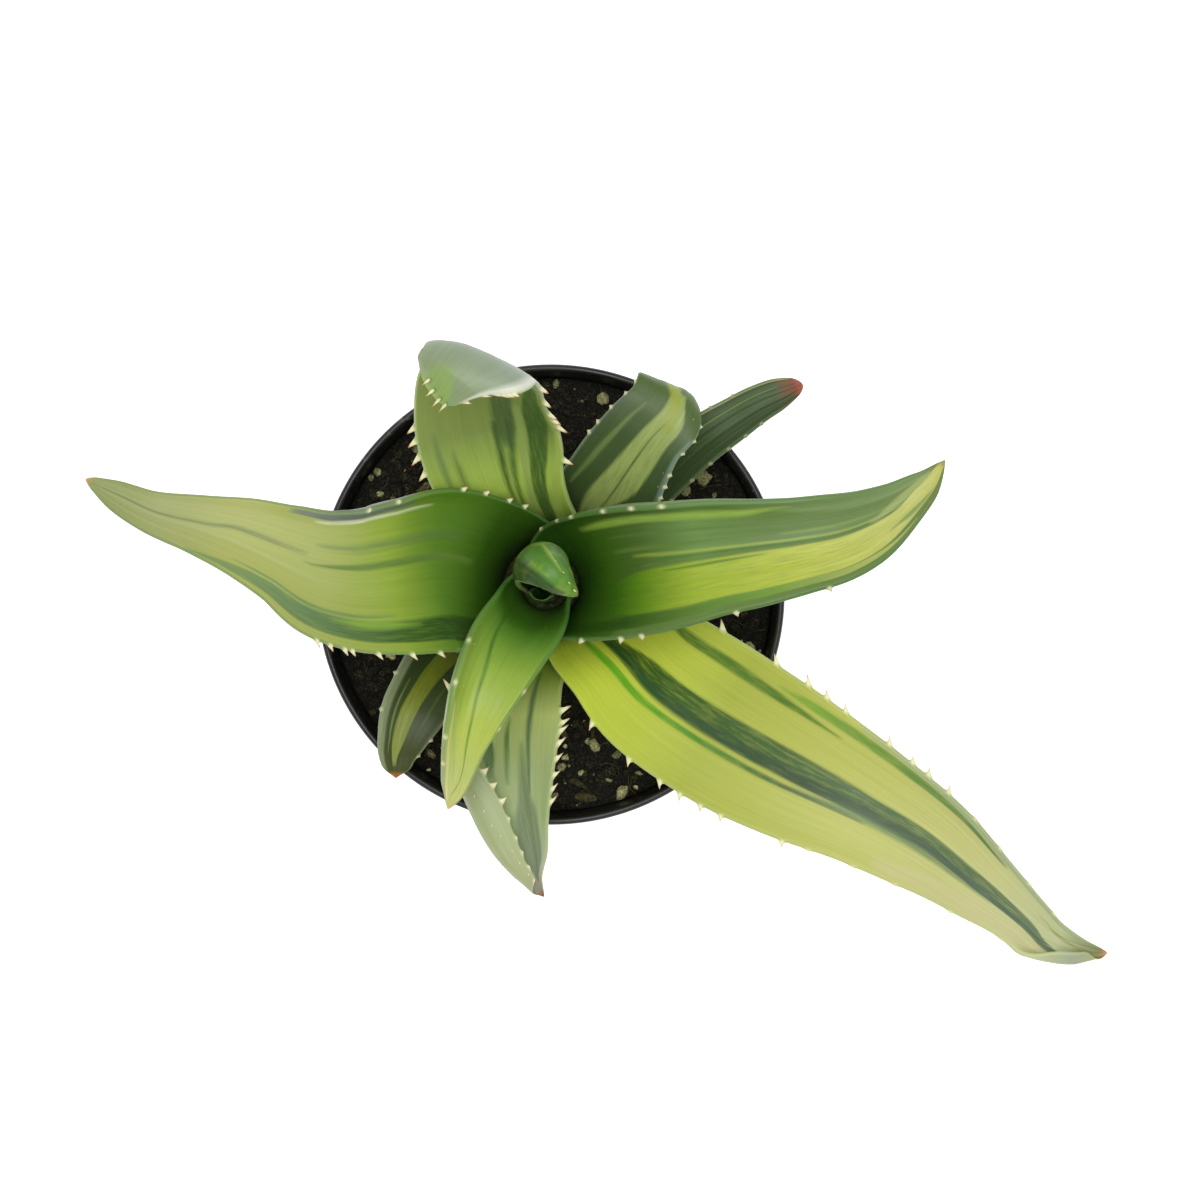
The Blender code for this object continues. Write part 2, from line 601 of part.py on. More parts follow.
def wall_radius(height):
    """Outer radius of the pot wall at a height, below the rim band."""
    top = POT_RIM_RADIUS - POT_RIM_WIDTH + 0.4
    share = height / (POT_HEIGHT - POT_BAND_DEPTH)
    return POT_BASE_RADIUS + (top - POT_BASE_RADIUS) * min(share, 1.0)


def inner_radius(height):
    """Inner radius of the pot at a height."""
    band = POT_HEIGHT - POT_BAND_DEPTH
    if height < band:
        return wall_radius(height) - POT_WALL
    share = (height - band) / POT_BAND_DEPTH
    return wall_radius(band) - POT_WALL + share * 0.7


def apply_boolean(piece, group, operation, solver="EXACT"):
    """Cut or join every body of a collection to a piece, then drop the bodies."""
    modifier = piece.modifiers.new("join", "BOOLEAN")
    modifier.operand_type = "COLLECTION"
    modifier.collection = group
    modifier.operation = operation
    modifier.solver = solver
    graph = bpy.context.evaluated_depsgraph_get()
    result = bpy.data.meshes.new_from_object(piece.evaluated_get(graph), depsgraph=graph)
    piece.modifiers.clear()
    old = piece.data
    piece.data = result
    bpy.data.meshes.remove(old)
    for body in list(group.objects):
        bpy.data.objects.remove(body, do_unlink=True)
    bpy.data.collections.remove(group)


def new_group(name):
    """Collection for the bodies that are cut from or joined to a piece."""
    group = bpy.data.collections.new(name)
    bpy.context.scene.collection.children.link(group)
    return group


def move_to_group(piece, group):
    """Take a body out of the scene's own list and put it in the group."""
    bpy.context.scene.collection.objects.unlink(piece)
    group.objects.link(piece)


def oval_x(x):
    """Where a place of the round plan lies in the slightly oval pot."""
    return x * POT_OVAL + POT_SHIFT


def make_oval(mesh):
    """Press a turned body to the oval of the pot."""
    for vert in mesh.verts:
        vert.co.x = oval_x(vert.co.x / MM) * MM
    return mesh


def pot_profile():
    """Section of the pot: floor, tapering thin wall, ledge and rolled rim band."""
    band = POT_HEIGHT - POT_BAND_DEPTH
    return [
        (0.0, 0.0),
        (POT_BASE_RADIUS - 1.2, 0.0),
        (POT_BASE_RADIUS - 0.3, 0.35),
        (POT_BASE_RADIUS + 0.1, 1.3),
        (wall_radius(30.0), 30.0),
        (wall_radius(62.0), 62.0),
        (wall_radius(band - 0.6), band - 0.6),
        (POT_RIM_RADIUS - 0.5, band + 0.3),
        (POT_RIM_RADIUS - 0.1, band + 1.0),
        (POT_RIM_RADIUS, POT_HEIGHT - 1.0),
        (POT_RIM_RADIUS - 0.3, POT_HEIGHT - 0.3),
        (POT_RIM_RADIUS - 0.9, POT_HEIGHT),
        (POT_RIM_RADIUS - 1.5, POT_HEIGHT - 0.3),
        (POT_RIM_RADIUS - POT_RIM_WIDTH, POT_HEIGHT - 1.0),
        (inner_radius(band + 0.5), band + 0.5),
        (inner_radius(62.0), 62.0),
        (inner_radius(30.0), 30.0),
        (inner_radius(3.2), 3.2),
        (inner_radius(3.2) - 1.4, POT_FLOOR),
        (0.0, POT_FLOOR),
    ]


def build_pot(mat):
    """Thin-walled pot with a ring of drain holes through its floor."""
    pot = place("pot", make_oval(revolve(pot_profile(), POT_SIDES)), mat, smooth=True)
    cutters = new_group("drain_cutters")
    for k in range(DRAIN_COUNT):
        turn = 2 * math.pi * (k + 0.5) / DRAIN_COUNT
        centre = (DRAIN_RING * math.cos(turn), DRAIN_RING * math.sin(turn))
        section = [(0.0, -2.0), (DRAIN_RADIUS, -2.0), (DRAIN_RADIUS, 4.0), (0.0, 4.0)]
        hole = make_oval(revolve(section, DRAIN_SIDES, centre))
        move_to_group(place(f"drain_{k}", hole, mat), cutters)
    apply_boolean(pot, cutters, "DIFFERENCE")
    return pot


def stem_profile():
    """Short ringed stem: a scar ledge and a neck for each pair of sheaths."""
    profile = [
        (0.0, STEM_FOOT),
        (6.0, STEM_FOOT + 0.6),
        (9.5, STEM_FOOT + 6.0),
        (STEM_NECK_RADIUS, SOIL_TOP - 10.0),
        (RING_RADII[0] - 1.2, SOIL_TOP - 4.0),
    ]
    for i, (height, radius) in enumerate(zip(RING_HEIGHTS, RING_RADII)):
        reach = radius + SCAR_REACH
        neck = radius - CLEARANCE - NECK_SLACK
        if i > 0:
            reach = min(reach, RING_RADII[i - 1] - CLEARANCE - NECK_SLACK)
        profile.append((reach - 0.5, height - 2.1))
        profile.append((reach, height - 1.3))
        profile.append((reach - 0.35, height - CLEARANCE))
        profile.append((neck, height - CLEARANCE))
    profile.append((RING_RADII[-1] - CLEARANCE, RING_HEIGHTS[-1] + 2.0))
    profile.append((0.0, RING_HEIGHTS[-1] + 2.8))
    return profile


def soil_height(x, y):
    """Uneven surface of the potting mix at a place, in millimetres."""
    wave = math.sin(x * 0.31 + 1.3) * math.cos(y * 0.27 - 0.4)
    fine = math.sin(x * 0.83 - y * 0.61 + 2.0) * 0.45 + math.cos(x * 0.57 + y * 0.93) * 0.35
    return SOIL_TOP + SOIL_BUMP * (0.5 * wave + 0.5 * fine)


def soil_hole():
    """Radius of the plain hole the stem stands in."""
    return RING_RADII[0] + SCAR_REACH + CLEARANCE + FACET_SLACK * 2


def soil_ring(mesh, radius, height, centre=None):
    """One level ring of soil corners, round a place or following the pot."""
    ring = []
    for k in range(SOIL_SIDES):
        turn = 2 * math.pi * k / SOIL_SIDES
        x = radius * math.cos(turn)
        y = radius * math.sin(turn)
        if centre:
            x += centre[0]
            y += centre[1]
        else:
            x = oval_x(x)
        ring.append(mesh.verts.new((x * MM, y * MM, height * MM)))
    return ring


def soil_mesh():
    """Filling of the pot with an uneven top and a plain hole for the stem."""
    mesh = bmesh.new()
    rings = []
    hole = soil_hole()
    edge = inner_radius(SOIL_TOP) - CLEARANCE - FACET_SLACK
    for share in SOIL_RINGS:
        ring = []
        for k in range(SOIL_SIDES):
            turn = 2 * math.pi * k / SOIL_SIDES
            near = (AXIS_X + hole * math.cos(turn), AXIS_Y + hole * math.sin(turn))
            far = (oval_x(edge * math.cos(turn)), edge * math.sin(turn))
            x = near[0] + (far[0] - near[0]) * share
            y = near[1] + (far[1] - near[1]) * share
            z = SOIL_TOP - 0.4 if share == 1.0 else soil_height(x, y)
            ring.append(mesh.verts.new((x * MM, y * MM, z * MM)))
        rings.append(ring)
    for height in (62.0, 30.0, 3.4):
        rings.append(soil_ring(mesh, inner_radius(height) - CLEARANCE - FACET_SLACK, height))
    floor = POT_FLOOR + CLEARANCE
    rings.append(soil_ring(mesh, inner_radius(3.4) - 2.2, floor))
    for low, high in zip(rings, rings[1:]):
        for k in range(SOIL_SIDES):
            n = (k + 1) % SOIL_SIDES
            mesh.faces.new((low[k], low[n], high[n], high[k]))
    foot = STEM_FOOT - 1.0
    well = soil_ring(mesh, hole, foot, (AXIS_X, AXIS_Y))
    middle = mesh.verts.new((0.0, 0.0, floor * MM))
    bottom = mesh.verts.new((AXIS_X * MM, AXIS_Y * MM, foot * MM))
    for k in range(SOIL_SIDES):
        n = (k + 1) % SOIL_SIDES
        mesh.faces.new((rings[-1][k], rings[-1][n], middle))
        mesh.faces.new((rings[0][n], rings[0][k], well[k], well[n]))
        mesh.faces.new((well[n], well[k], bottom))
    bmesh.ops.recalc_face_normals(mesh, faces=mesh.faces)
    return mesh


def grain_places(rng):
    """Places, half lengths and shapes of the grains: the coarse ones first, then the scatter."""
    taken = [(x, y, size, False) for x, y, size in SEEN_GRAINS]
    rim = inner_radius(SOIL_TOP)
    for k in range(GRAIN_COUNT + CHIP_COUNT):
        chip = k >= GRAIN_COUNT
        size = rng.uniform(2.2, 3.6) if chip else rng.uniform(0.9, 1.8)
        for _ in range(60):
            turn = rng.uniform(0.0, 2 * math.pi)
            reach = math.sqrt(rng.uniform(0.2, 0.86)) * rim
            x = oval_x(reach * math.cos(turn))
            y = reach * math.sin(turn)
            away = math.hypot(x - AXIS_X, y - AXIS_Y) - soil_hole()
            clear = all(math.hypot(x - u, y - v) > (size + w) * 1.3 for u, v, w, _ in taken)
            if away > size + 0.8 and reach + size * 1.3 < rim - 0.8 and clear:
                taken.append((x, y, size, chip))
                break
    return taken


def grain_mesh(rng, x, y, seat, size, chip):
    """Angular pumice grain, or a flat sliver of bark, sunk into the soil where it lies."""
    body = bmesh.new()
    bmesh.ops.create_icosphere(body, subdivisions=1, radius=1.0)
    spin = rng.uniform(0.0, math.pi)
    wide = size * (0.32 if chip else 0.8)
    high = size * (0.3 if chip else 0.75)
    sink = high * (0.25 if chip else 0.15)
    for vert in body.verts:
        jitter = rng.uniform(0.86, 1.12)
        u = vert.co.x * size * jitter
        v = vert.co.y * wide * jitter
        w = vert.co.z * high * jitter
        vert.co = (
            (x + u * math.cos(spin) - v * math.sin(spin)) * MM,
            (y + u * math.sin(spin) + v * math.cos(spin)) * MM,
            seat + (w - sink) * MM,
        )
    return body


def build_soil(mat):
    """Soil with its grains raised from the uneven top as one body."""
    mesh = soil_mesh()
    ground = BVHTree.FromBMesh(mesh)
    soil = place("soil", mesh, mat)
    grains = new_group("grains")
    rng = random.Random(GRAIN_SEED)
    for k, (x, y, size, chip) in enumerate(grain_places(rng)):
        above = Vector((x * MM, y * MM, POT_HEIGHT * 2 * MM))
        seat = ground.ray_cast(above, Vector((0.0, 0.0, -1.0)))[0].z
        body = grain_mesh(rng, x, y, seat, size, chip)
        move_to_group(place(f"grain_{k}", body, mat), grains)
    apply_boolean(soil, grains, "UNION")
    return soil


def main():
    """Build every piece of the potted plant."""
    for old in list(bpy.data.objects):
        bpy.data.objects.remove(old, do_unlink=True)
    black = material("pot_plastic", (0.008, 0.008, 0.009), 0.42)
    peat = material("potting_mix", (0.020, 0.016, 0.010), 0.95)
    cork = material("stem_skin", (0.21, 0.17, 0.08), 0.8)
    flesh = material("leaf_flesh", (0.36, 0.46, 0.12), 0.45)
    build_pot(black)
    build_soil(peat)
    place("stem", revolve(stem_profile(), STEM_SIDES, (AXIS_X, AXIS_Y)), cork)
    for plan in LEAVES:
        place(plan.name, leaf_mesh(plan), flesh)


main()
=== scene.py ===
"""A striped aloe in a black nursery pot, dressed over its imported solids.

The scene is in metres and the tables are in millimetres. +Z is up, the origin lies on the
pot's axis on the surface it stands on, +X is the right of the plant seen from above and
+Y its top. A place on a blade is said by its share of the way along it, from the foot of
the sheath to the tip, and by its share of the half width across it, from +1 on the left
hand to -1 on the right hand, looking out from the stem with the upper face up.
"""

import json
import logging
import math
import random
from dataclasses import dataclass
from enum import Enum

import bpy
import numpy as np
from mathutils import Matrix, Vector, noise

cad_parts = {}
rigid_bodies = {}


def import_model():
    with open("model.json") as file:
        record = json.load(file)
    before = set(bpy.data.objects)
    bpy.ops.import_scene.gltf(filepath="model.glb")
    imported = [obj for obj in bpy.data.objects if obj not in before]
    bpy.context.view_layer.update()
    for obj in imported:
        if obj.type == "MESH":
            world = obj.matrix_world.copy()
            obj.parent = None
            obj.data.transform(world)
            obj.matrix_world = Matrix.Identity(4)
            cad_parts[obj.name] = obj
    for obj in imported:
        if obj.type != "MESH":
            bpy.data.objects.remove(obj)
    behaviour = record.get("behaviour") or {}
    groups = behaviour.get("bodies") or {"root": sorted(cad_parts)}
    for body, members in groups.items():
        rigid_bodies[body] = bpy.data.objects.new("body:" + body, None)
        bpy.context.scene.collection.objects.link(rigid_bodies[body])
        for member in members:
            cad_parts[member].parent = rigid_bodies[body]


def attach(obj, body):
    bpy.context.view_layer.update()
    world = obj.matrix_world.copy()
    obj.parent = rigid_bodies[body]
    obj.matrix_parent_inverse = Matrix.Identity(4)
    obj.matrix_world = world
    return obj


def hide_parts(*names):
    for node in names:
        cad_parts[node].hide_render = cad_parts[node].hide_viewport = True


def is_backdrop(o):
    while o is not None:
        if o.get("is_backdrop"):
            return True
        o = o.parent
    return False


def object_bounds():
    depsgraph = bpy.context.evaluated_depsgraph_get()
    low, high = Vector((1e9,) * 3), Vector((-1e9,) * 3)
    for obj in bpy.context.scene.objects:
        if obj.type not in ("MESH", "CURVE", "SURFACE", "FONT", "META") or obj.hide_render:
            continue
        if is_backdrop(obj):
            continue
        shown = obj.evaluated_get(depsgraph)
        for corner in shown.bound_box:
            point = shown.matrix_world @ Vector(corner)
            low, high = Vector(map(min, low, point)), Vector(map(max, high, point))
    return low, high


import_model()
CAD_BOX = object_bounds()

MM = 0.001
BODY = "root"

LOG = logging.getLogger("aloe")

Socket = bpy.types.NodeSocket
Faces = list[tuple[int, ...]]
Stops = tuple[tuple[float, str], ...]


def paint(code: str) -> tuple[float, float, float, float]:
    """Turn an sRGB hex colour into linear light.

    Args:
        code: The colour as #rrggbb.

    Returns:
        Red, green, blue and full alpha, linear.
    """
    shares = [int(code[i : i + 2], 16) / 255.0 for i in (1, 3, 5)]
    linear = [c / 12.92 if c <= 0.04045 else ((c + 0.055) / 1.055) ** 2.4 for c in shares]
    return (linear[0], linear[1], linear[2], 1.0)


def smooth_step(value: np.ndarray) -> np.ndarray:
    """Rise from 0 to 1 without a corner."""
    t = np.clip(value, 0.0, 1.0)
    return t * t * (3.0 - 2.0 * t)


def unit(vectors: np.ndarray) -> np.ndarray:
    """Scale each row to length one."""
    return vectors / np.linalg.norm(vectors, axis=1, keepdims=True)


def hermite(knots: np.ndarray, values: np.ndarray, at: np.ndarray) -> np.ndarray:
    """Read a smooth curve through values at rising knots.

    Args:
        knots: Rising places of the known values.
        values: One row of values for each knot.
        at: Places to read.

    Returns:
        One row of values for each place read.
    """
    slopes = np.gradient(values, knots, axis=0)
    index = np.clip(np.searchsorted(knots, at, side="right") - 1, 0, len(knots) - 2)
    span = (knots[index + 1] - knots[index])[:, None]
    t = (at - knots[index])[:, None] / span
    low = (2 * t**3 - 3 * t**2 + 1) * values[index]
    low += (t**3 - 2 * t**2 + t) * span * slopes[index]
    high = (-2 * t**3 + 3 * t**2) * values[index + 1]
    high += (t**3 - t**2) * span * slopes[index + 1]
    return low + high


def sleeve(rings: int, count: int, start: int = 0) -> Faces:
    """Quads between closed rings of points that follow each other.

    Args:
        rings: Number of rings.
        count: Points of a ring.
        start: Number of the first point.

    Returns:
        The faces, ring by ring.
    """
    faces = []
    for a in range(start, start + (rings - 1) * count, count):
        for k in range(count):
            n = (k + 1) % count
            faces.append((a + k, a + n, a + count + n, a + count + k))
    return faces


class Board:
    """The node tree of one material."""

    def __init__(self, name: str) -> None:
        """Start an empty material of that name."""
        self.material = bpy.data.materials.new(name)
        self.material.use_nodes = True
        self.tree = self.material.node_tree
        self.tree.nodes.clear()

    def add(
        self, kind: str, links: dict | None = None, out: int | str | None = 0,
        **settings: object,
    ) -> Socket | bpy.types.Node:
        """Add a node with its settings and links.

        Args:
            kind: Blender's name of the node, without the leading ShaderNode.
            links: An output to link, or a value to set, for each input by name or number.
            out: The wanted output by name or number, or None for the node itself.
            settings: Properties of the node. stops fills a colour ramp with (place, hex),
                and curves fills curves with lists of (place, value).

        Returns:
            The wanted output, or the node.
        """
        node = self.tree.nodes.new("ShaderNode" + kind)
        for stop, (place, code) in enumerate(settings.pop("stops", ())):
            ramp = node.color_ramp.elements
            element = ramp[stop] if stop < len(ramp) else ramp.new(place)
            element.position = place
            element.color = paint(code)
        if "curves" in settings:
            for curve, points in zip(node.mapping.curves, settings.pop("curves")):
                for k, (place, value) in enumerate(points):
                    point = curve.points[k] if k < 2 else curve.points.new(place, value)
                    point.location = (place, value)
                    point.handle_type = "AUTO_CLAMPED"
            node.mapping.extend = "HORIZONTAL"
            node.mapping.update()
        for key, value in settings.items():
            setattr(node, key, value)
        for key, value in (links or {}).items():
            if isinstance(value, Socket):
                self.tree.links.new(value, node.inputs[key])
            else:
                node.inputs[key].default_value = value
        return node if out is None else node.outputs[out]

    def finish(self, shader: Socket) -> bpy.types.Material:
        """Link the shader to the output and hand over the material."""
        self.add("OutputMaterial", {"Surface": shader}, None)
        return self.material


class Face(Enum):
    """The face of a blade that a stripe lies on."""

    UPPER = "upper"
    UNDER = "under"


@dataclass(frozen=True)
class Station:
    """One section of a blade: where its middle lies and how it is spread and folded.

    Angles are in degrees, lengths in millimetres.

    Attributes:
        x: Place of the middle to the right.
        y: Place of the middle to the top.
        z: Height of the middle.
        left: Half width on the left hand.
        right: Half width on the right hand.
        bend_left: How far the left half is bent up.
        bend_right: How far the right half is bent up.
        thick: Thickness at the middle.
        roll: Turn of the whole section about the line of the blade.
        fold_left: Further turn of the left half at its crease.
        fold_right: Further turn of the right half at its crease.
        crease_left: Where the left crease lies, as a share of the half width.
        crease_right: Where the right crease lies.
    """

    x: float
    y: float
    z: float
    left: float
    right: float
    bend_left: float
    bend_right: float
    thick: float
    roll: float = 0.0
    fold_left: float = 0.0
    fold_right: float = 0.0
    crease_left: float = 0.8
    crease_right: float = 0.8


@dataclass(frozen=True)
class LeafPlan:
    """A leaf: how its sheath sits on the stem, the run of its blade and its teeth.

    Attributes:
        name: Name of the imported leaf.
        ring: Number of the ring it sits on, from the lowest.
        azimuth: Where its sheath points, in degrees from +X.
        wrap: How far each half of the sheath reaches round the stem, in degrees.
        stations: Sections of the blade from foot to tip.
        teeth_left: Lengths along the blade at which teeth stand on the left hand.
        teeth_right: The same on the right hand.
        tooth_height: Height of a full tooth.
        tooth_lean: How far a point leans to the tip, as a share of its height.
        height_right: Height of a full tooth on the right hand, if it differs.
        lean_right: Lean on the right hand, if it differs.
        sheath_thickness: Thickness of the sheath.
        half_base: Half of a tooth's foot along the margin.
        low_left: Length from which the teeth on the left hand are low.
        low_right: The same on the right hand.
        prickles: Prickles on the faces as (along, across, 1 for underside, height).
    """

    name: str
    ring: int
    azimuth: float
    wrap: float
    stations: tuple[Station, ...]
    teeth_left: tuple[float, ...] = ()
    teeth_right: tuple[float, ...] = ()
    tooth_height: float = 2.6
    tooth_lean: float = 0.0
    height_right: float | None = None
    lean_right: float | None = None
    sheath_thickness: float = 1.9
    half_base: float = 1.45
    low_left: float = math.inf
    low_right: float = math.inf
    prickles: tuple[tuple[float, float, int, float], ...] = ()


def stations(*rows: tuple[float, ...]) -> tuple[Station, ...]:
    """Stations from rows of their numbers, in the order of the fields."""
    return tuple(Station(*row) for row in rows)


@dataclass(frozen=True)
class Crown:
    """The rings of the stem that carry the sheaths, from the lowest leaf pair to the heart.

    Attributes:
        axis_x: Place of the stem to the right.
        axis_y: Place of the stem to the top.
        heights: Height of each ring.
        radii: Radius of each ring.
        sheath_height: Height of a sheath above its ring.
        sheath_flare: How much wider a sheath is at its top.
        sheath_slope: How far it leans outwards at its top.
    """

    axis_x: float = -2.0
    axis_y: float = 2.0
    heights: tuple[float, ...] = (88.0, 93.0, 98.0, 103.0, 108.0, 113.0, 118.0, 122.0)
    radii: tuple[float, ...] = (17.0, 14.7, 12.4, 10.1, 7.8, 5.5, 3.2, 1.7)
    sheath_height: float = 6.0
    sheath_flare: float = 1.02
    sheath_slope: float = 0.15


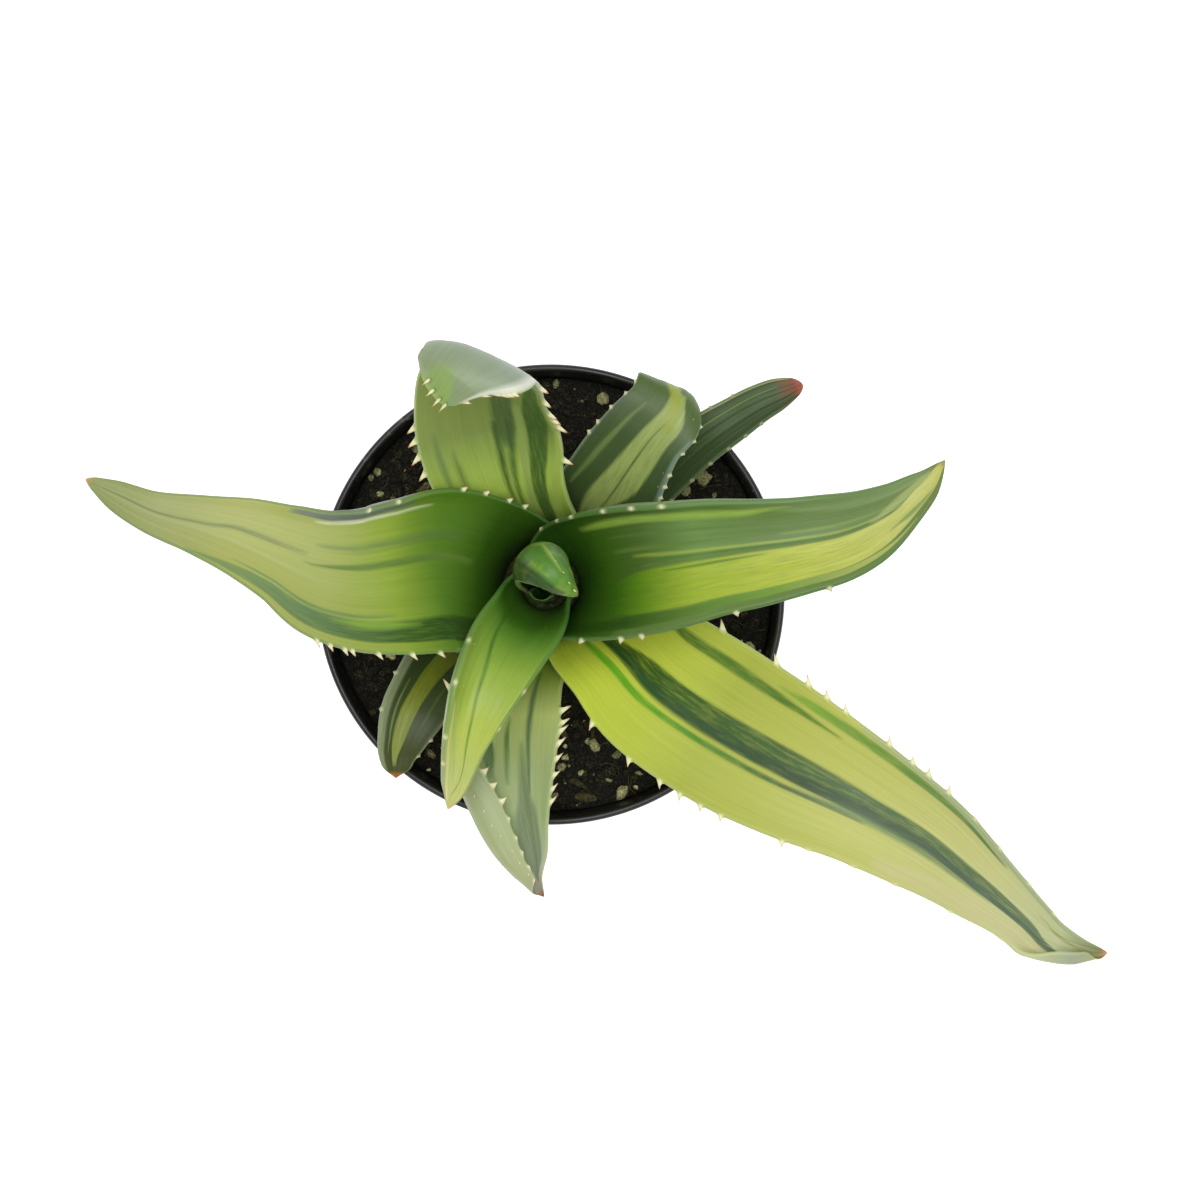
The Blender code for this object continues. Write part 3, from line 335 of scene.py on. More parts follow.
LEAVES = (
    LeafPlan(
        "leaf_southeast", 2, -33, 62,
        stations(
            (11.6, -7.3, 112, 15.5, 15.5, 48, 48, 3.6), (17.6, -12.4, 121, 16.8, 16.8, 36, 36, 4.6),
            (24.9, -20.4, 128, 18.3, 18, 28, 28, 5.4), (34.7, -27.4, 133, 19, 18.3, 24, 24, 5.8),
            (44.9, -33.6, 137, 18.5, 18, 22, 22, 5.8), (54, -38.7, 140, 17.6, 16.9, 22, 22, 5.4),
            (71, -47.6, 143, 14.2, 14.1, 22, 22, 4.8), (85.8, -56.7, 142, 11.3, 11.8, 24, 24, 4),
            (96.9, -66, 139, 8.9, 8.5, 26, 26, 3.4), (107.5, -74.4, 136, 6.2, 6.6, 28, 28, 2.6),
            (113.1, -78.3, 134.4, 4.6, 7.6, 30, 20, 2.1, 0, 0, 100, 0.8, 0.52),
            (119.1, -80.6, 134, 2.8, 6.4, 30, 14, 1.6, 0, 0, 125, 0.8, 0.42),
            (122.6, -81.2, 134.4, 1.6, 5.4, 20, 10, 1.2, 0, 0, 120, 0.8, 0.36),
            (126.3, -81.7, 135.4, 0.5, 0.8, 10, 10, 0.9, 0, 0, 40, 0.8, 0.4),
        ),
        teeth_left=(46.8, 62.7, 71.8, 76.9, 82.4, 93.6, 99.7, 103.9, 109.2, 116.5, 125.2, 136.4, 146),
        teeth_right=(35.6, 44.8, 52.9, 58, 63.1, 68.2, 82.4, 88.5, 99.7, 110.9, 126.2, 139.4),
        tooth_height=2.7, tooth_lean=-0.6, height_right=1.9, lean_right=0.6, low_left=112, low_right=84,
    ),
    LeafPlan(
        "leaf_west", 3, 180, 112,
        stations(
            (-13.2, 2.2, 118, 20.2, 20.2, 80, 80, 3.4), (-16.9, 3.3, 126, 20, 20, 56, 56, 4.2),
            (-25.8, 5.1, 134.5, 19.4, 19.8, 34, 34, 5, 0, 0, 30, 0.8, 0.85),
            (-34.6, 3.7, 141, 18, 18.7, 28, 24, 5.4, 0, 0, 60, 0.8, 0.85),
            (-43.4, 2.8, 145, 16.2, 17.4, 24, 20, 5.2, 0, 0, 72, 0.8, 0.85),
            (-52.1, 4.3, 148, 14.3, 15.3, 22, 22, 4.8, 0, 0, 50, 0.8, 0.85),
            (-61, 8.1, 150, 10.2, 12.5, 22, 24, 4.2, 0, 0, 20, 0.8, 0.85),
            (-69.8, 12.1, 151, 8.3, 9.9, 24, 24, 3.6), (-78.7, 15.3, 151, 6.8, 7, 26, 26, 3),
            (-90.1, 18.6, 150, 4.8, 4.6, 28, 28, 2.4), (-99.2, 22.9, 149, 2.9, 2.9, 28, 28, 1.8),
            (-104.7, 25.8, 149, 0.6, 0.9, 10, 10, 1),
        ),
        teeth_left=(43.3, 48.7, 54.9, 58.7, 59.9, 62.3, 64.6),
        teeth_right=(21.6, 25.5, 30.9, 34.8, 47.9, 56.4),
        tooth_height=1.9, tooth_lean=-0.5, height_right=1.3, half_base=1.2, low_right=40,
    ),
    LeafPlan(
        "leaf_east", 4, 0, 122,
        stations(
            (7.5, 2.6, 122, 17.6, 16.4, 86, 84, 3.2),
            (12.1, 3.8, 133, 17.4, 16, 66, 50, 4.2, 0, 24, 0, 0.85),
            (19.7, 5.4, 142, 16.6, 15.6, 54, 26, 5, 0, 52, 0, 0.85),
            (28.6, 6.7, 148, 15.1, 14.6, 46, 18, 5.2, 0, 60, 0, 0.85),
            (37.6, 8.1, 151, 13.8, 13.1, 44, 14, 5, 0, 54, 0, 0.85),
            (46.4, 9.4, 153, 12.2, 12.3, 44, 12, 4.6, 0, 46, 0, 0.85),
            (55.3, 10.7, 154, 11, 11, 44, 12, 4.2, 0, 36, 0, 0.85),
            (64.2, 12.5, 154, 10.1, 9.8, 44, 12, 3.8, 0, 24, 0, 0.85),
            (72.1, 15.7, 153, 8.1, 7.9, 40, 14, 3.2, 0, 12, 0, 0.85),
            (78.9, 19.7, 152, 6.2, 4.8, 36, 18, 2.6), (84, 24.2, 152, 4.1, 2.7, 30, 24, 2),
            (87.8, 30, 152, 0.4, 0.4, 10, 10, 1),
        ),
        teeth_left=(14.5, 21.5, 26.6, 35.6, 42, 48.6),
        teeth_right=(25.4, 34.8, 39.9, 60.9, 81.2),
        tooth_height=1.6, tooth_lean=0.3, low_left=0,
    ),
    LeafPlan(
        "leaf_south_young", 5, -113, 124,
        stations(
            (-6.2, -6, 128, 11.4, 11.4, 92, 96, 2.6), (-8, -8.6, 137, 11, 10.6, 62, 88, 3.4),
            (-10.8, -12.3, 145, 10, 9.8, 34, 78, 4),
            (-13, -16.5, 149.5, 9, 9.4, 22, 70, 4.2, 0, 0, 10, 0.8, 0.4),
            (-15.7, -23, 152, 7.4, 8.8, 14, 62, 4, 0, 0, 24, 0.8, 0.4),
            (-17.5, -28.6, 151.5, 5.8, 7.7, 12, 60, 3.6, 0, 0, 30, 0.8, 0.4),
            (-19.2, -34.1, 148.5, 4.3, 6.1, 12, 60, 3, 0, 0, 26, 0.8, 0.4),
            (-20.7, -40.1, 144, 3.1, 4.4, 14, 56, 2.4, 0, 0, 20, 0.8, 0.4),
            (-22.2, -45.3, 139, 1.9, 2.6, 20, 50, 1.8), (-24, -49, 135, 0.4, 0.4, 10, 10, 1),
        ),
        teeth_left=(44, 54),
        teeth_right=(40.3, 47.9, 57.6, 65),
        tooth_height=0.8, tooth_lean=0.1, low_left=0, low_right=0,
        prickles=((0.486, -0.78, 0, 0.55), (0.584, -0.6, 0, 0.55), (0.74, -0.33, 0, 0.55),
                  (0.84, -0.15, 0, 0.5)),
    ),
    LeafPlan(
        "leaf_centre_hood", 6, 100, 126,
        stations(
            (-2.4, 6, 130, 7.4, 7.4, 112, 112, 1.9), (-2.7, 7.8, 139, 8.6, 8.2, 96, 96, 2.2),
            (-2.8, 9, 147, 8.8, 7.8, 92, 92, 2.3), (-2.5, 9.4, 153, 8.8, 7, 92, 88, 2.3),
            (-1.5, 8.8, 158, 8.4, 5.6, 92, 80, 2.1), (0, 7, 161.2, 7.2, 4.3, 88, 70, 1.9),
            (1.5, 5, 162.2, 5.6, 3.4, 80, 60, 1.7), (3, 2.9, 161, 3.8, 2.6, 70, 50, 1.5),
            (4.5, 1.1, 158.6, 2, 1.6, 54, 40, 1.3), (5.8, -0.4, 155.8, 0.4, 0.4, 10, 10, 1),
        ),
        sheath_thickness=1.5,
        prickles=((0.801, 0, 1, 0.45), (0.838, 0, 1, 0.55), (0.878, 0.05, 1, 0.6),
                  (0.923, 0.1, 1, 0.9)),
    ),
    LeafPlan(
        "leaf_heart", 7, -100, 78,
        stations(
            (-2.6, -0.2, 131, 2.6, 2.6, 84, 84, 1.05), (-2.9, -0.9, 136, 3, 3, 78, 78, 1.1),
            (-3, -1.3, 140, 2.5, 2.5, 66, 66, 1.1), (-3, -1.2, 143.5, 0.4, 0.4, 10, 10, 0.95),
        ),
        sheath_thickness=0.95,
    ),
    LeafPlan(
        "leaf_north", 2, 108, 62,
        stations(
            (-6.4, 15.6, 110, 14.4, 13.4, 50, 50, 3.4), (-8.8, 20.5, 119, 15.2, 12.9, 40, 40, 4.2),
            (-11.2, 25.9, 127, 15.6, 13.9, 32, 32, 4.8, -2),
            (-13.2, 32.2, 134, 16.5, 15.8, 28, 28, 5, -6),
            (-14.8, 37.9, 141, 16.4, 16.4, 24, 24, 4.8, -12),
            (-15.6, 42.6, 149, 15.4, 15.6, 20, 20, 4.4, -20),
            (-15.6, 46.3, 157, 14.4, 14.8, 16, 16, 3.8, -27),
            (-15.2, 48.6, 164, 13, 14, 10, 10, 3.2, -31),
            (-15.6, 50.3, 169.6, 13.2, 13.4, 14, 6, 2.8, -36),
            (-16.7, 50.7, 173.8, 12.2, 13.6, 26, 6, 2.6, -46),
            (-18.4, 49.3, 176, 11.2, 10.2, 40, 6, 2.4, -56),
            (-20.6, 46.6, 176.6, 11, 6.4, 44, 6, 2.2, -61),
            (-22.6, 44.1, 175.8, 10.8, 4.2, 44, 10, 1.8, -61),
            (-24.6, 41.9, 174.4, 8.8, 2.2, 44, 10, 1.2, -59),
        ),
        teeth_left=(36.5, 43.8, 48.3, 52.2, 55.6),
        teeth_right=(38, 53.5, 58.7, 63.2, 72.8, 79.5, 88.9, 89.6, 90.3, 91.3, 93, 96.5),
        tooth_height=2.7, tooth_lean=-0.6, half_base=1.3,
        prickles=((0.973, 0.38, 1, 1.7), (0.983, 0.2, 1, 1.9), (0.988, -0.05, 1, 2),
                  (0.988, -0.6, 1, 1.9)),
    ),
    LeafPlan(
        "leaf_northeast_broad", 1, 55, 64,
        stations(
            (7.4, 15.3, 103, 13.6, 13.6, 44, 44, 3.2), (10, 19.3, 111, 12.8, 12.8, 34, 34, 4),
            (13.7, 25, 118, 12, 12, 28, 28, 4.4), (17.6, 31.5, 123, 11.1, 10.5, 24, 24, 4.4, -2),
            (21.5, 37.2, 126.5, 10, 9.4, 14, 12, 4, -5), (25.6, 41.9, 128, 9.5, 9.4, 4, -8, 3.2, -8),
            (28.6, 46, 126.8, 10.4, 7.6, 4, -40, 2.8, -12),
            (29.6, 47.6, 123.6, 10.4, 6.4, 0, -54, 2.6, -14),
            (29.5, 47.6, 119.8, 7.8, 5.6, 0, -50, 2.4, -14),
            (28.8, 46.9, 116.4, 4.8, 4.2, 0, -30, 2, -12), (27.7, 45.8, 113.8, 0.5, 0.5, 0, 0, 1, -10),
        ),
        teeth_left=(38.8, 41.8, 45.7, 49.5, 54.3),
        teeth_right=(34.9, 38.1, 41.2, 48.2, 51.7, 54.8),
        tooth_height=0.9, tooth_lean=0.4,
        prickles=((0.569, -0.86, 0, 0.5), (0.516, -0.88, 0, 0.6), (0.763, -0.72, 0, 0.5)),
    ),
    LeafPlan(
        "leaf_northeast_narrow", 0, 38, 60,
        stations(
            (12.6, 13.7, 96, 13.4, 13.4, 42, 42, 2.8), (16.6, 18.4, 101, 9.8, 9.8, 30, 30, 3.6),
            (22, 24.9, 104.5, 8, 6.4, 24, 24, 4), (28.4, 31, 106.5, 6.9, 5.9, 20, 20, 3.8),
            (34.9, 36.8, 108, 5.6, 5.9, 20, 20, 3.4), (41.9, 41.7, 109, 4.5, 5.6, 20, 20, 3),
            (47.7, 44.9, 110, 4.2, 4.6, 20, 20, 2.6), (53.4, 47.2, 110.5, 3.7, 3.3, 20, 20, 2),
            (58.3, 49.2, 110.5, 1.8, 1.4, 10, 10, 1.2),
        ),
        teeth_left=(30, 37, 43, 49, 54.5),
        teeth_right=(28, 35, 41, 47, 52.5, 57.5),
        tooth_height=0.4, tooth_lean=0.4,
    ),
    LeafPlan(
        "leaf_southwest", 0, -140, 62,
        stations(
            (-16.9, -10.1, 97, 9.2, 14, 30, 44, 2.8), (-21.3, -12, 102, 7.8, 10.4, 24, 32, 3.6),
            (-26.3, -15.7, 106, 9, 8.4, 24, 24, 4.2), (-31.1, -22.4, 110, 8.6, 7.2, 22, 22, 4.2),
            (-34, -28.5, 112, 7.7, 6.8, 22, 22, 3.8), (-35.9, -34.1, 112, 5.9, 5.4, 22, 22, 3.2),
            (-36.9, -38.3, 111, 4.2, 4.2, 22, 22, 2.6), (-37.1, -40.9, 110.5, 3.1, 2.9, 22, 22, 2),
            (-37.2, -43.1, 110, 0.5, 0.5, 10, 10, 1.1),
        ),
        teeth_left=(38, 44, 49),
        teeth_right=(33, 41),
        tooth_height=0.9, tooth_lean=0.2,
    ),
    LeafPlan(
        "leaf_south_folded", 1, -100, 66,
        stations(
            (-5.1, -13.4, 102, 12.4, 15.4, 40, 56, 2.9), (-7.6, -17.5, 108, 11, 15, 30, 44, 4),
            (-10.3, -23.5, 114, 12.4, 14.2, 24, 34, 4.6),
            (-11.9, -30.4, 118, 13.8, 13.4, 20, 30, 4.8, 0, 0, 20, 0.8, 0.7),
            (-11.3, -38.4, 121, 12.2, 14.6, 18, 20, 4.4, 0, 0, 110, 0.8, 0.63),
            (-9.9, -46.4, 122.5, 9.8, 14.4, 18, 14, 3.8, 0, 0, 150, 0.8, 0.57),
            (-7.8, -54.5, 123, 6.8, 12.1, 16, 12, 3.2, 0, 0, 158, 0.8, 0.54),
            (-5.7, -61, 122.5, 4.4, 8.4, 16, 12, 2.6, 0, 0, 155, 0.8, 0.53),
            (-4.1, -66.1, 121.5, 1.5, 4.4, 16, 16, 1.9, 0, 0, 130, 0.8, 0.49),
            (-2.3, -70.2, 120, 0.3, 0.4, 10, 10, 1),
        ),
        teeth_left=(28.6, 33.4, 37.2, 40.6, 44.2, 48.2, 51.6, 54.6),
        teeth_right=(28.7, 35.8, 45.4, 48.4, 52, 55.9, 60.2, 63.8, 67.3, 70.7),
        tooth_height=2.8, tooth_lean=-0.5, height_right=2.4, half_base=1.4, low_right=55,
        prickles=((0.651, -0.72, 1, 0.9), (0.696, -0.72, 1, 0.9), (0.738, -0.72, 1, 0.8),
                  (0.771, -0.78, 1, 0.8), (0.82, -0.84, 1, 0.7), (0.86, -0.88, 1, 0.7),
                  (0.903, -0.9, 1, 0.6)),
    ),
)


@dataclass(frozen=True)
class Section:
    """Frames of the middle line at many lengths, one row for each.

    Attributes:
        row: Place, half widths, bends, folds, creases, roll and thickness.
        tangent: Direction to the tip.
        side: Direction to the left hand.
        normal: Direction out of the upper face.
    """

    row: np.ndarray
    tangent: np.ndarray
    side: np.ndarray
    normal: np.ndarray


class BladeForm:
    """The surface of one blade, read at any length and any place across."""

    TRACK_SAMPLES = 260
    SPREAD_CELLS = 72
    FOLD_WIDTH = 0.36
    EDGE_THICKNESS = 0.95
    THINNEST_HALF_WIDTH = 0.35
    TIP_THINS_OVER = 7.0
    TIP_ROUNDS_OVER = 2.4
    MOST_BODY = 0.7
    BODY_POWER = 0.75

    def __init__(self, plan: LeafPlan, crown: Crown) -> None:
        """Lay the middle line of a leaf from its sheath through its stations.

        Args:
            plan: The leaf.
            crown: The rings it sits on.
        """
        self.plan = plan
        radius = crown.radii[plan.ring]
        turn = math.radians(plan.azimuth)
        out = np.array([math.cos(turn), math.sin(turn), 0.0])
        foot = np.array([crown.axis_x, crown.axis_y, crown.heights[plan.ring]]) + out * radius
        half = radius * math.radians(plan.wrap)
        flared = half * crown.sheath_flare
        collar = foot + (0.0, 0.0, crown.sheath_height) + out * crown.sheath_slope
        top = plan.stations[0]
        tail = (plan.wrap, plan.wrap, 0, 0, top.crease_left, top.crease_right, 0)
        rows = [
            (*foot, half, half, *tail, plan.sheath_thickness),
            (*collar, flared, flared, *tail, plan.sheath_thickness),
        ]
        for s in plan.stations:
            rows.append((s.x, s.y, s.z, s.left, s.right, s.bend_left, s.bend_right, s.fold_left,
                         s.fold_right, s.crease_left, s.crease_right, s.roll, s.thick))
        rows = np.array(rows, dtype=float)
        steps = np.linalg.norm(np.diff(rows[:, :3], axis=0), axis=1)
        knots = np.concatenate([[0.0], np.cumsum(steps)])
        self.length = float(knots[-1])
        self.half_width = float(rows[2:, 3:5].mean())
        self.grid = np.linspace(0.0, self.length, self.TRACK_SAMPLES)
        self.track = hermite(knots, rows, self.grid)
        self._carry_side(out)

    def _carry_side(self, out: np.ndarray) -> None:
        """Carry the side direction along the middle line without twisting it.

        Args:
            out: Where the sheath points.
        """
        tangents = np.gradient(self.track[:, :3], self.grid, axis=0)
        tangents[0] = (0.0, 0.0, 1.0)
        self.tangents = unit(tangents)
        side = np.cross((0.0, 0.0, 1.0), out)
        sides = []
        for tangent in self.tangents:
            side = side - tangent * np.dot(side, tangent)
            side = side / np.linalg.norm(side)
            sides.append(side)
        self.sides = np.array(sides)

    def _read(self, table: np.ndarray, at: np.ndarray) -> np.ndarray:
        """Rows of a table of the middle line at the wanted lengths."""
        return np.stack([np.interp(at, self.grid, column) for column in table.T], axis=1)

    def sections(self, at: np.ndarray) -> Section:
        """Frames at the wanted lengths.

        Args:
            at: The lengths.

        Returns:
            The frames, turned by the roll of the blade.
        """
        row = self._read(self.track, at)
        tangent = unit(self._read(self.tangents, at))
        side = self._read(self.sides, at)
        side = unit(side - tangent * np.sum(side * tangent, axis=1, keepdims=True))
        normal = np.cross(tangent, side)
        roll = np.radians(row[:, 11:12])
        turned = side * np.cos(roll) + normal * np.sin(roll)
        return Section(row, tangent, turned, normal * np.cos(roll) - side * np.sin(roll))

    def tip_share(self, at: np.ndarray) -> np.ndarray:
        """How far the outline has rounded off towards the tip: 1 along the blade, 0 at its end."""
        left = np.clip((self.length - at) / self.TIP_ROUNDS_OVER, 0.0, 1.0)
        return np.sqrt(1.0 - (1.0 - left) ** 2)

    def spread(self, section: Section, reach: np.ndarray, hand: int) -> tuple[np.ndarray, ...]:
        """Points of one half of the blade.

        Args:
            section: Frames of the wanted lengths.
            reach: Shares of the half width, one row for each length.
            hand: 1 for the left half, -1 for the right.

        Returns:
            Points of the upper face, their facing, their outward direction and the
            thickness there.
        """
        first = 0 if hand > 0 else 1
        row = section.row
        width = np.maximum(row[:, 3 + first], self.THINNEST_HALF_WIDTH)[:, None]
        bend = np.radians(row[:, 5 + first])[:, None]
        fold = np.radians(row[:, 7 + first])[:, None]
        crease = row[:, 9 + first][:, None]
        cells = self.SPREAD_CELLS
        u = (np.arange(cells) + 0.5)[None, :] / cells
        angle = bend * u + fold * smooth_step((u - crease) / self.FOLD_WIDTH + 0.5)
        zero = np.zeros((len(row), 1))
        lateral = np.concatenate([zero, np.cumsum(np.cos(angle), axis=1)], axis=1)
        rise = np.concatenate([zero, np.cumsum(np.sin(angle), axis=1)], axis=1)
        cell = np.minimum((reach * cells).astype(int), cells - 1)
        part = reach * cells - cell
        gone = [
            np.take_along_axis(t, cell, 1) * (1 - part) + np.take_along_axis(t, cell + 1, 1) * part
            for t in (lateral, rise)
        ]
        away, lift = (g * width / cells for g in gone)
        end = bend * reach + fold * smooth_step((reach - crease) / self.FOLD_WIDTH + 0.5)
        side = section.side[:, None, :] * hand
        normal = section.normal[:, None, :]
        point = row[:, None, :3] + side * away[..., None] + normal * lift[..., None]
        cos, sin = np.cos(end)[..., None], np.sin(end)[..., None]
        body = np.maximum(row[:, 12:13] - self.EDGE_THICKNESS, 0.0) * (1 - reach**2) ** self.BODY_POWER
        thickness = self.EDGE_THICKNESS + np.minimum(body, width * self.MOST_BODY)
        return point, normal * cos - side * sin, side * cos + normal * sin, thickness


@dataclass(frozen=True)
class Tooth:
    """One marginal tooth.

    Attributes:
        at: Length along the blade at which it stands.
        hand: 1 on the left hand, -1 on the right.
        height: How far it stands out.
        lean: How far its point leans to the tip, as a share of its height.
        half_base: Half of its foot along the margin.
        tint: How far its colour goes from the skin's to that of horn.
    """

    at: float
    hand: int
    height: float
    lean: float
    half_base: float
    tint: float


@dataclass
class Blade:
    """A fleshy leaf with a rounded margin and horny teeth drawn out of it.

    Attributes:
        plan: Stations and teeth of the leaf.
        crown: The rings that carry it.
        step: Length between plain sections, in millimetres.
        finest: Least length between two sections.
        columns: Columns of each face.
        arc: Points of the rounded margin between the faces.
        ribs: Height of the low ribs along the faces.
        low_share: Height of a low tooth as a share of a full one.
        low_tint: How far a low tooth has the colour of horn.
        probe: Length over which the margin's own length is read at a tooth.
    """

    plan: LeafPlan
    crown: Crown
    step: float = 1.25
    finest: float = 0.06
    columns: int = 37
    arc: int = 7
    ribs: float = 0.05
    low_share: float = 0.28
    low_tint: float = 0.42
    probe: float = 0.8

    END_SECTIONS = (2.4, 1.8, 1.2, 0.7, 0.3, 0.08)
    TOOTH_SECTIONS = (-1, -0.72, -0.48, -0.28, -0.12, 0, 0.12, 0.28, 0.48, 0.72, 1)
    PRICKLE_LEVELS = (0.0, 0.25, 0.5, 0.75, 0.93)
    PRICKLE_SIDES = 8
    FAR_FROM_MARGIN = 9.0

    # A tooth keeps this share of its height at the tip, and gains so much to the foot.
    TIP_SHARE, FOOT_GAIN = 0.55, 0.6
    HEIGHT_DRAW, LEAN_DRAW = (0.86, 1.12), 0.12
    # The foot of a tooth grows with its height up to this one; a low tooth is a wide bump.
    FULL_FOOT_HEIGHT, LEAST_FOOT, LOW_FOOT = 2.2, 0.6, 2.0
    # A tooth is a sharp spike on a low skirt.
    SPIKE, SPIKE_POWER, SKIRT, LEAN_POWER = 0.92, 2.3, 0.08, 1.5

    def __post_init__(self) -> None:
        """Lay the form and choose the teeth."""
        self.form = BladeForm(self.plan, self.crown)
        self.rng = random.Random(self.plan.name)
        self.teeth = self._teeth()

    def _edge(self, at: np.ndarray, hand: int) -> np.ndarray:
        """Points of the bare margin at the wanted lengths."""
        section = self.form.sections(at)
        return self.form.spread(section, np.ones((len(at), 1)), hand)[0][:, 0, :]

    def _teeth(self) -> list[Tooth]:
        """Choose the teeth, smaller towards the tip and a little uneven as they grow.

        Returns:
            The teeth of both hands.
        """
        plan, length = self.plan, self.form.length
        right_height = plan.height_right or plan.tooth_height
        right_lean = plan.tooth_lean if plan.lean_right is None else plan.lean_right
        teeth = []
        for hand, places, low_from, full, lean in (
            (1, plan.teeth_left, plan.low_left, plan.tooth_height, plan.tooth_lean),
            (-1, plan.teeth_right, plan.low_right, right_height, right_lean),
        ):
            for s in places:
                ends = self._edge(np.array([s - self.probe / 2, s + self.probe / 2]), hand)
                speed = max(float(np.linalg.norm(ends[1] - ends[0])) / self.probe, 0.5)
                share = min(1.0, self.TIP_SHARE + (length - s) / length * self.FOOT_GAIN)
                height = full * share * self.rng.uniform(*self.HEIGHT_DRAW)
                low = s >= low_from
                height *= self.low_share if low else 1.0
                grown = 0.4 * min(height / self.FULL_FOOT_HEIGHT, 1.0)
                base = plan.half_base * (self.LEAST_FOOT + grown) / speed
                base *= self.LOW_FOOT if low else 1.0
                tint = self.low_tint if low else 1.0
                own_lean = lean + self.rng.uniform(-self.LEAN_DRAW, self.LEAN_DRAW)
                teeth.append(Tooth(s, hand, height, own_lean, base, tint))
        return teeth

    def _lengths(self) -> np.ndarray:
        """Choose the sections: even steps, and finer ones through each tooth.

        Returns:
            Their lengths along the blade.
        """
        end = self.form.length
        wanted = list(np.linspace(0.0, end - 3.0, int(end / self.step)))
        wanted += [end - left for left in self.END_SECTIONS]
        for tooth in self.teeth:
            for share in self.TOOTH_SECTIONS:
                s = tooth.at + share * tooth.half_base
                if 0.5 < s < end - 0.5:
                    wanted.append(s)
        wanted.sort()
        peaks = {round(t.at, 6) for t in self.teeth}
        kept = [wanted[0]]
        for s in wanted[1:]:
            if s - kept[-1] > self.finest:
                kept.append(s)
            elif round(s, 6) in peaks:
                kept[-1] = s
        return np.array(kept)

    def _draw(self, at: np.ndarray, hand: int) -> tuple[np.ndarray, np.ndarray, np.ndarray]:
        """How far the teeth of one hand draw the margin out at each length.

        Args:
            at: Lengths of the sections.
            hand: 1 for the left hand, -1 for the right.

        Returns:
            The reach in millimetres, the shift along the blade, and the share of the
            tooth's own height.
        """
        reach, shift, share = np.zeros((3, len(at)))
        for tooth in (t for t in self.teeth if t.hand == hand):
            t = np.clip(1.0 - np.abs(at - tooth.at) / tooth.half_base, 0.0, 1.0)
            part = self.SPIKE * t**self.SPIKE_POWER + self.SKIRT * smooth_step(t)
            more = tooth.height * part > reach
            reach = np.where(more, tooth.height * part, reach)
            shift = np.where(more, tooth.height * tooth.lean * part**self.LEAN_POWER, shift)
            share = np.where(more, part * tooth.tint, share)
        return reach, shift, share

    def _relief(self, at: np.ndarray, across: np.ndarray) -> np.ndarray:
        """Low ribs that run along the faces and wander slowly.

        Args:
            at: Lengths of the sections.
            across: Places across the blade.

        Returns:
            Their height in millimetres.
        """
        drift = np.sin(at / 23.0 + self.plan.azimuth)[:, None] * 0.8
        wave = np.cos(across * 13.0 + drift) + 0.6 * np.cos(across * 29.0 - drift * 1.7)
        return self.ribs * wave * (1.0 - across**2)

    def build(self) -> bpy.types.Object:
        """Make the blade's closed mesh with the values that its skin reads.

        Returns:
            The leaf as an object.
        """
        at = self._lengths()
        section = self.form.sections(at)
        tip = self.form.tip_share(at)
        thin = np.clip((self.form.length - at) / self.form.TIP_THINS_OVER, 0.3, 1.0)
        spans = np.linspace(1.0, -1.0, self.columns)
        middle = self.columns // 2
        upper = np.zeros((len(at), self.columns, 3))
        lower = np.zeros_like(upper)
        across = np.zeros((len(at), self.columns))
        inset = np.zeros_like(across)
        margin = {}
        for hand, columns in ((1, slice(0, middle + 1)), (-1, slice(middle + 1, None))):
            width = section.row[:, 3 if hand > 0 else 4]
            width = np.maximum(width, self.form.THINNEST_HALF_WIDTH)
            radius = np.minimum(self.form.EDGE_THICKNESS / 2 * thin, width * 0.45) * tip
            most = np.maximum(1.0 - radius / width, 0.3) * np.maximum(tip, 0.02)
            reach = np.abs(spans[columns])[None, :] * most[:, None]
            point, face, outward, thickness = self.form.spread(section, reach, hand)
            thickness = thickness * thin[:, None] * np.maximum(tip, 0.05)[:, None]
            signed = reach * hand
            lift = self._relief(at, signed) * tip[:, None]
            upper[:, columns] = point + face * lift[..., None]
            lower[:, columns] = point - face * (thickness - lift * 0.5)[..., None]
            across[:, columns] = signed
            inset[:, columns] = (1.0 - reach) * width[:, None]
            edge = 0 if hand > 0 else -1
            margin[hand] = (face[:, edge], outward[:, edge], radius)
        angles = np.radians(np.linspace(90, -90, self.arc + 2)[1:-1])
        arcs = {}
        for hand, edge in ((1, 0), (-1, -1)):
            face, outward, radius = margin[hand]
            drawn, shift, share = self._draw(at, hand)
            top, under = upper[:, edge], lower[:, edge]
            centre = (top + under)[:, None, :] / 2
            half = (top - under)[:, None, :] / 2
            cos, sin = np.cos(angles)[None, :], np.sin(angles)[None, :]
            out = radius[:, None] * cos + drawn[:, None] * cos**2
            along = shift[:, None] * cos**2
            ring = centre + half * sin[..., None] + outward[:, None, :] * out[..., None]
            ring = ring + section.tangent[:, None, :] * along[..., None]
            arcs[hand] = (ring, share[:, None] * cos**2, (1 - sin) / 2 * np.ones_like(along))
        right, left = arcs[-1], arcs[1]
        points = np.concatenate([upper, right[0], lower[:, ::-1], left[0][:, ::-1]], axis=1)
        plain = np.zeros_like(across)
        one = np.ones_like(right[1])
        values = {
            "across": (across, -one, across[:, ::-1], one),
            "under": (plain, right[2], plain + 1, left[2][:, ::-1]),
            "horn": (plain, right[1], plain, left[1][:, ::-1]),
            "inset": (inset, one * 0, inset[:, ::-1], one * 0),
        }
        count = points.shape[1]
        values = {key: np.concatenate(parts, axis=1) for key, parts in values.items()}
        values["along"] = np.repeat((at / self.form.length)[:, None], count, axis=1)
        end = self.form.track[-1, :3]
        ends = {"across": 0.0, "under": 0.0, "horn": 0.0, "inset": 0.0, "along": 1.0}
        vertices = np.concatenate([points.reshape(-1, 3), end[None, :]])
        flat = {key: np.append(values[key].ravel(), ends[key]) for key in values}
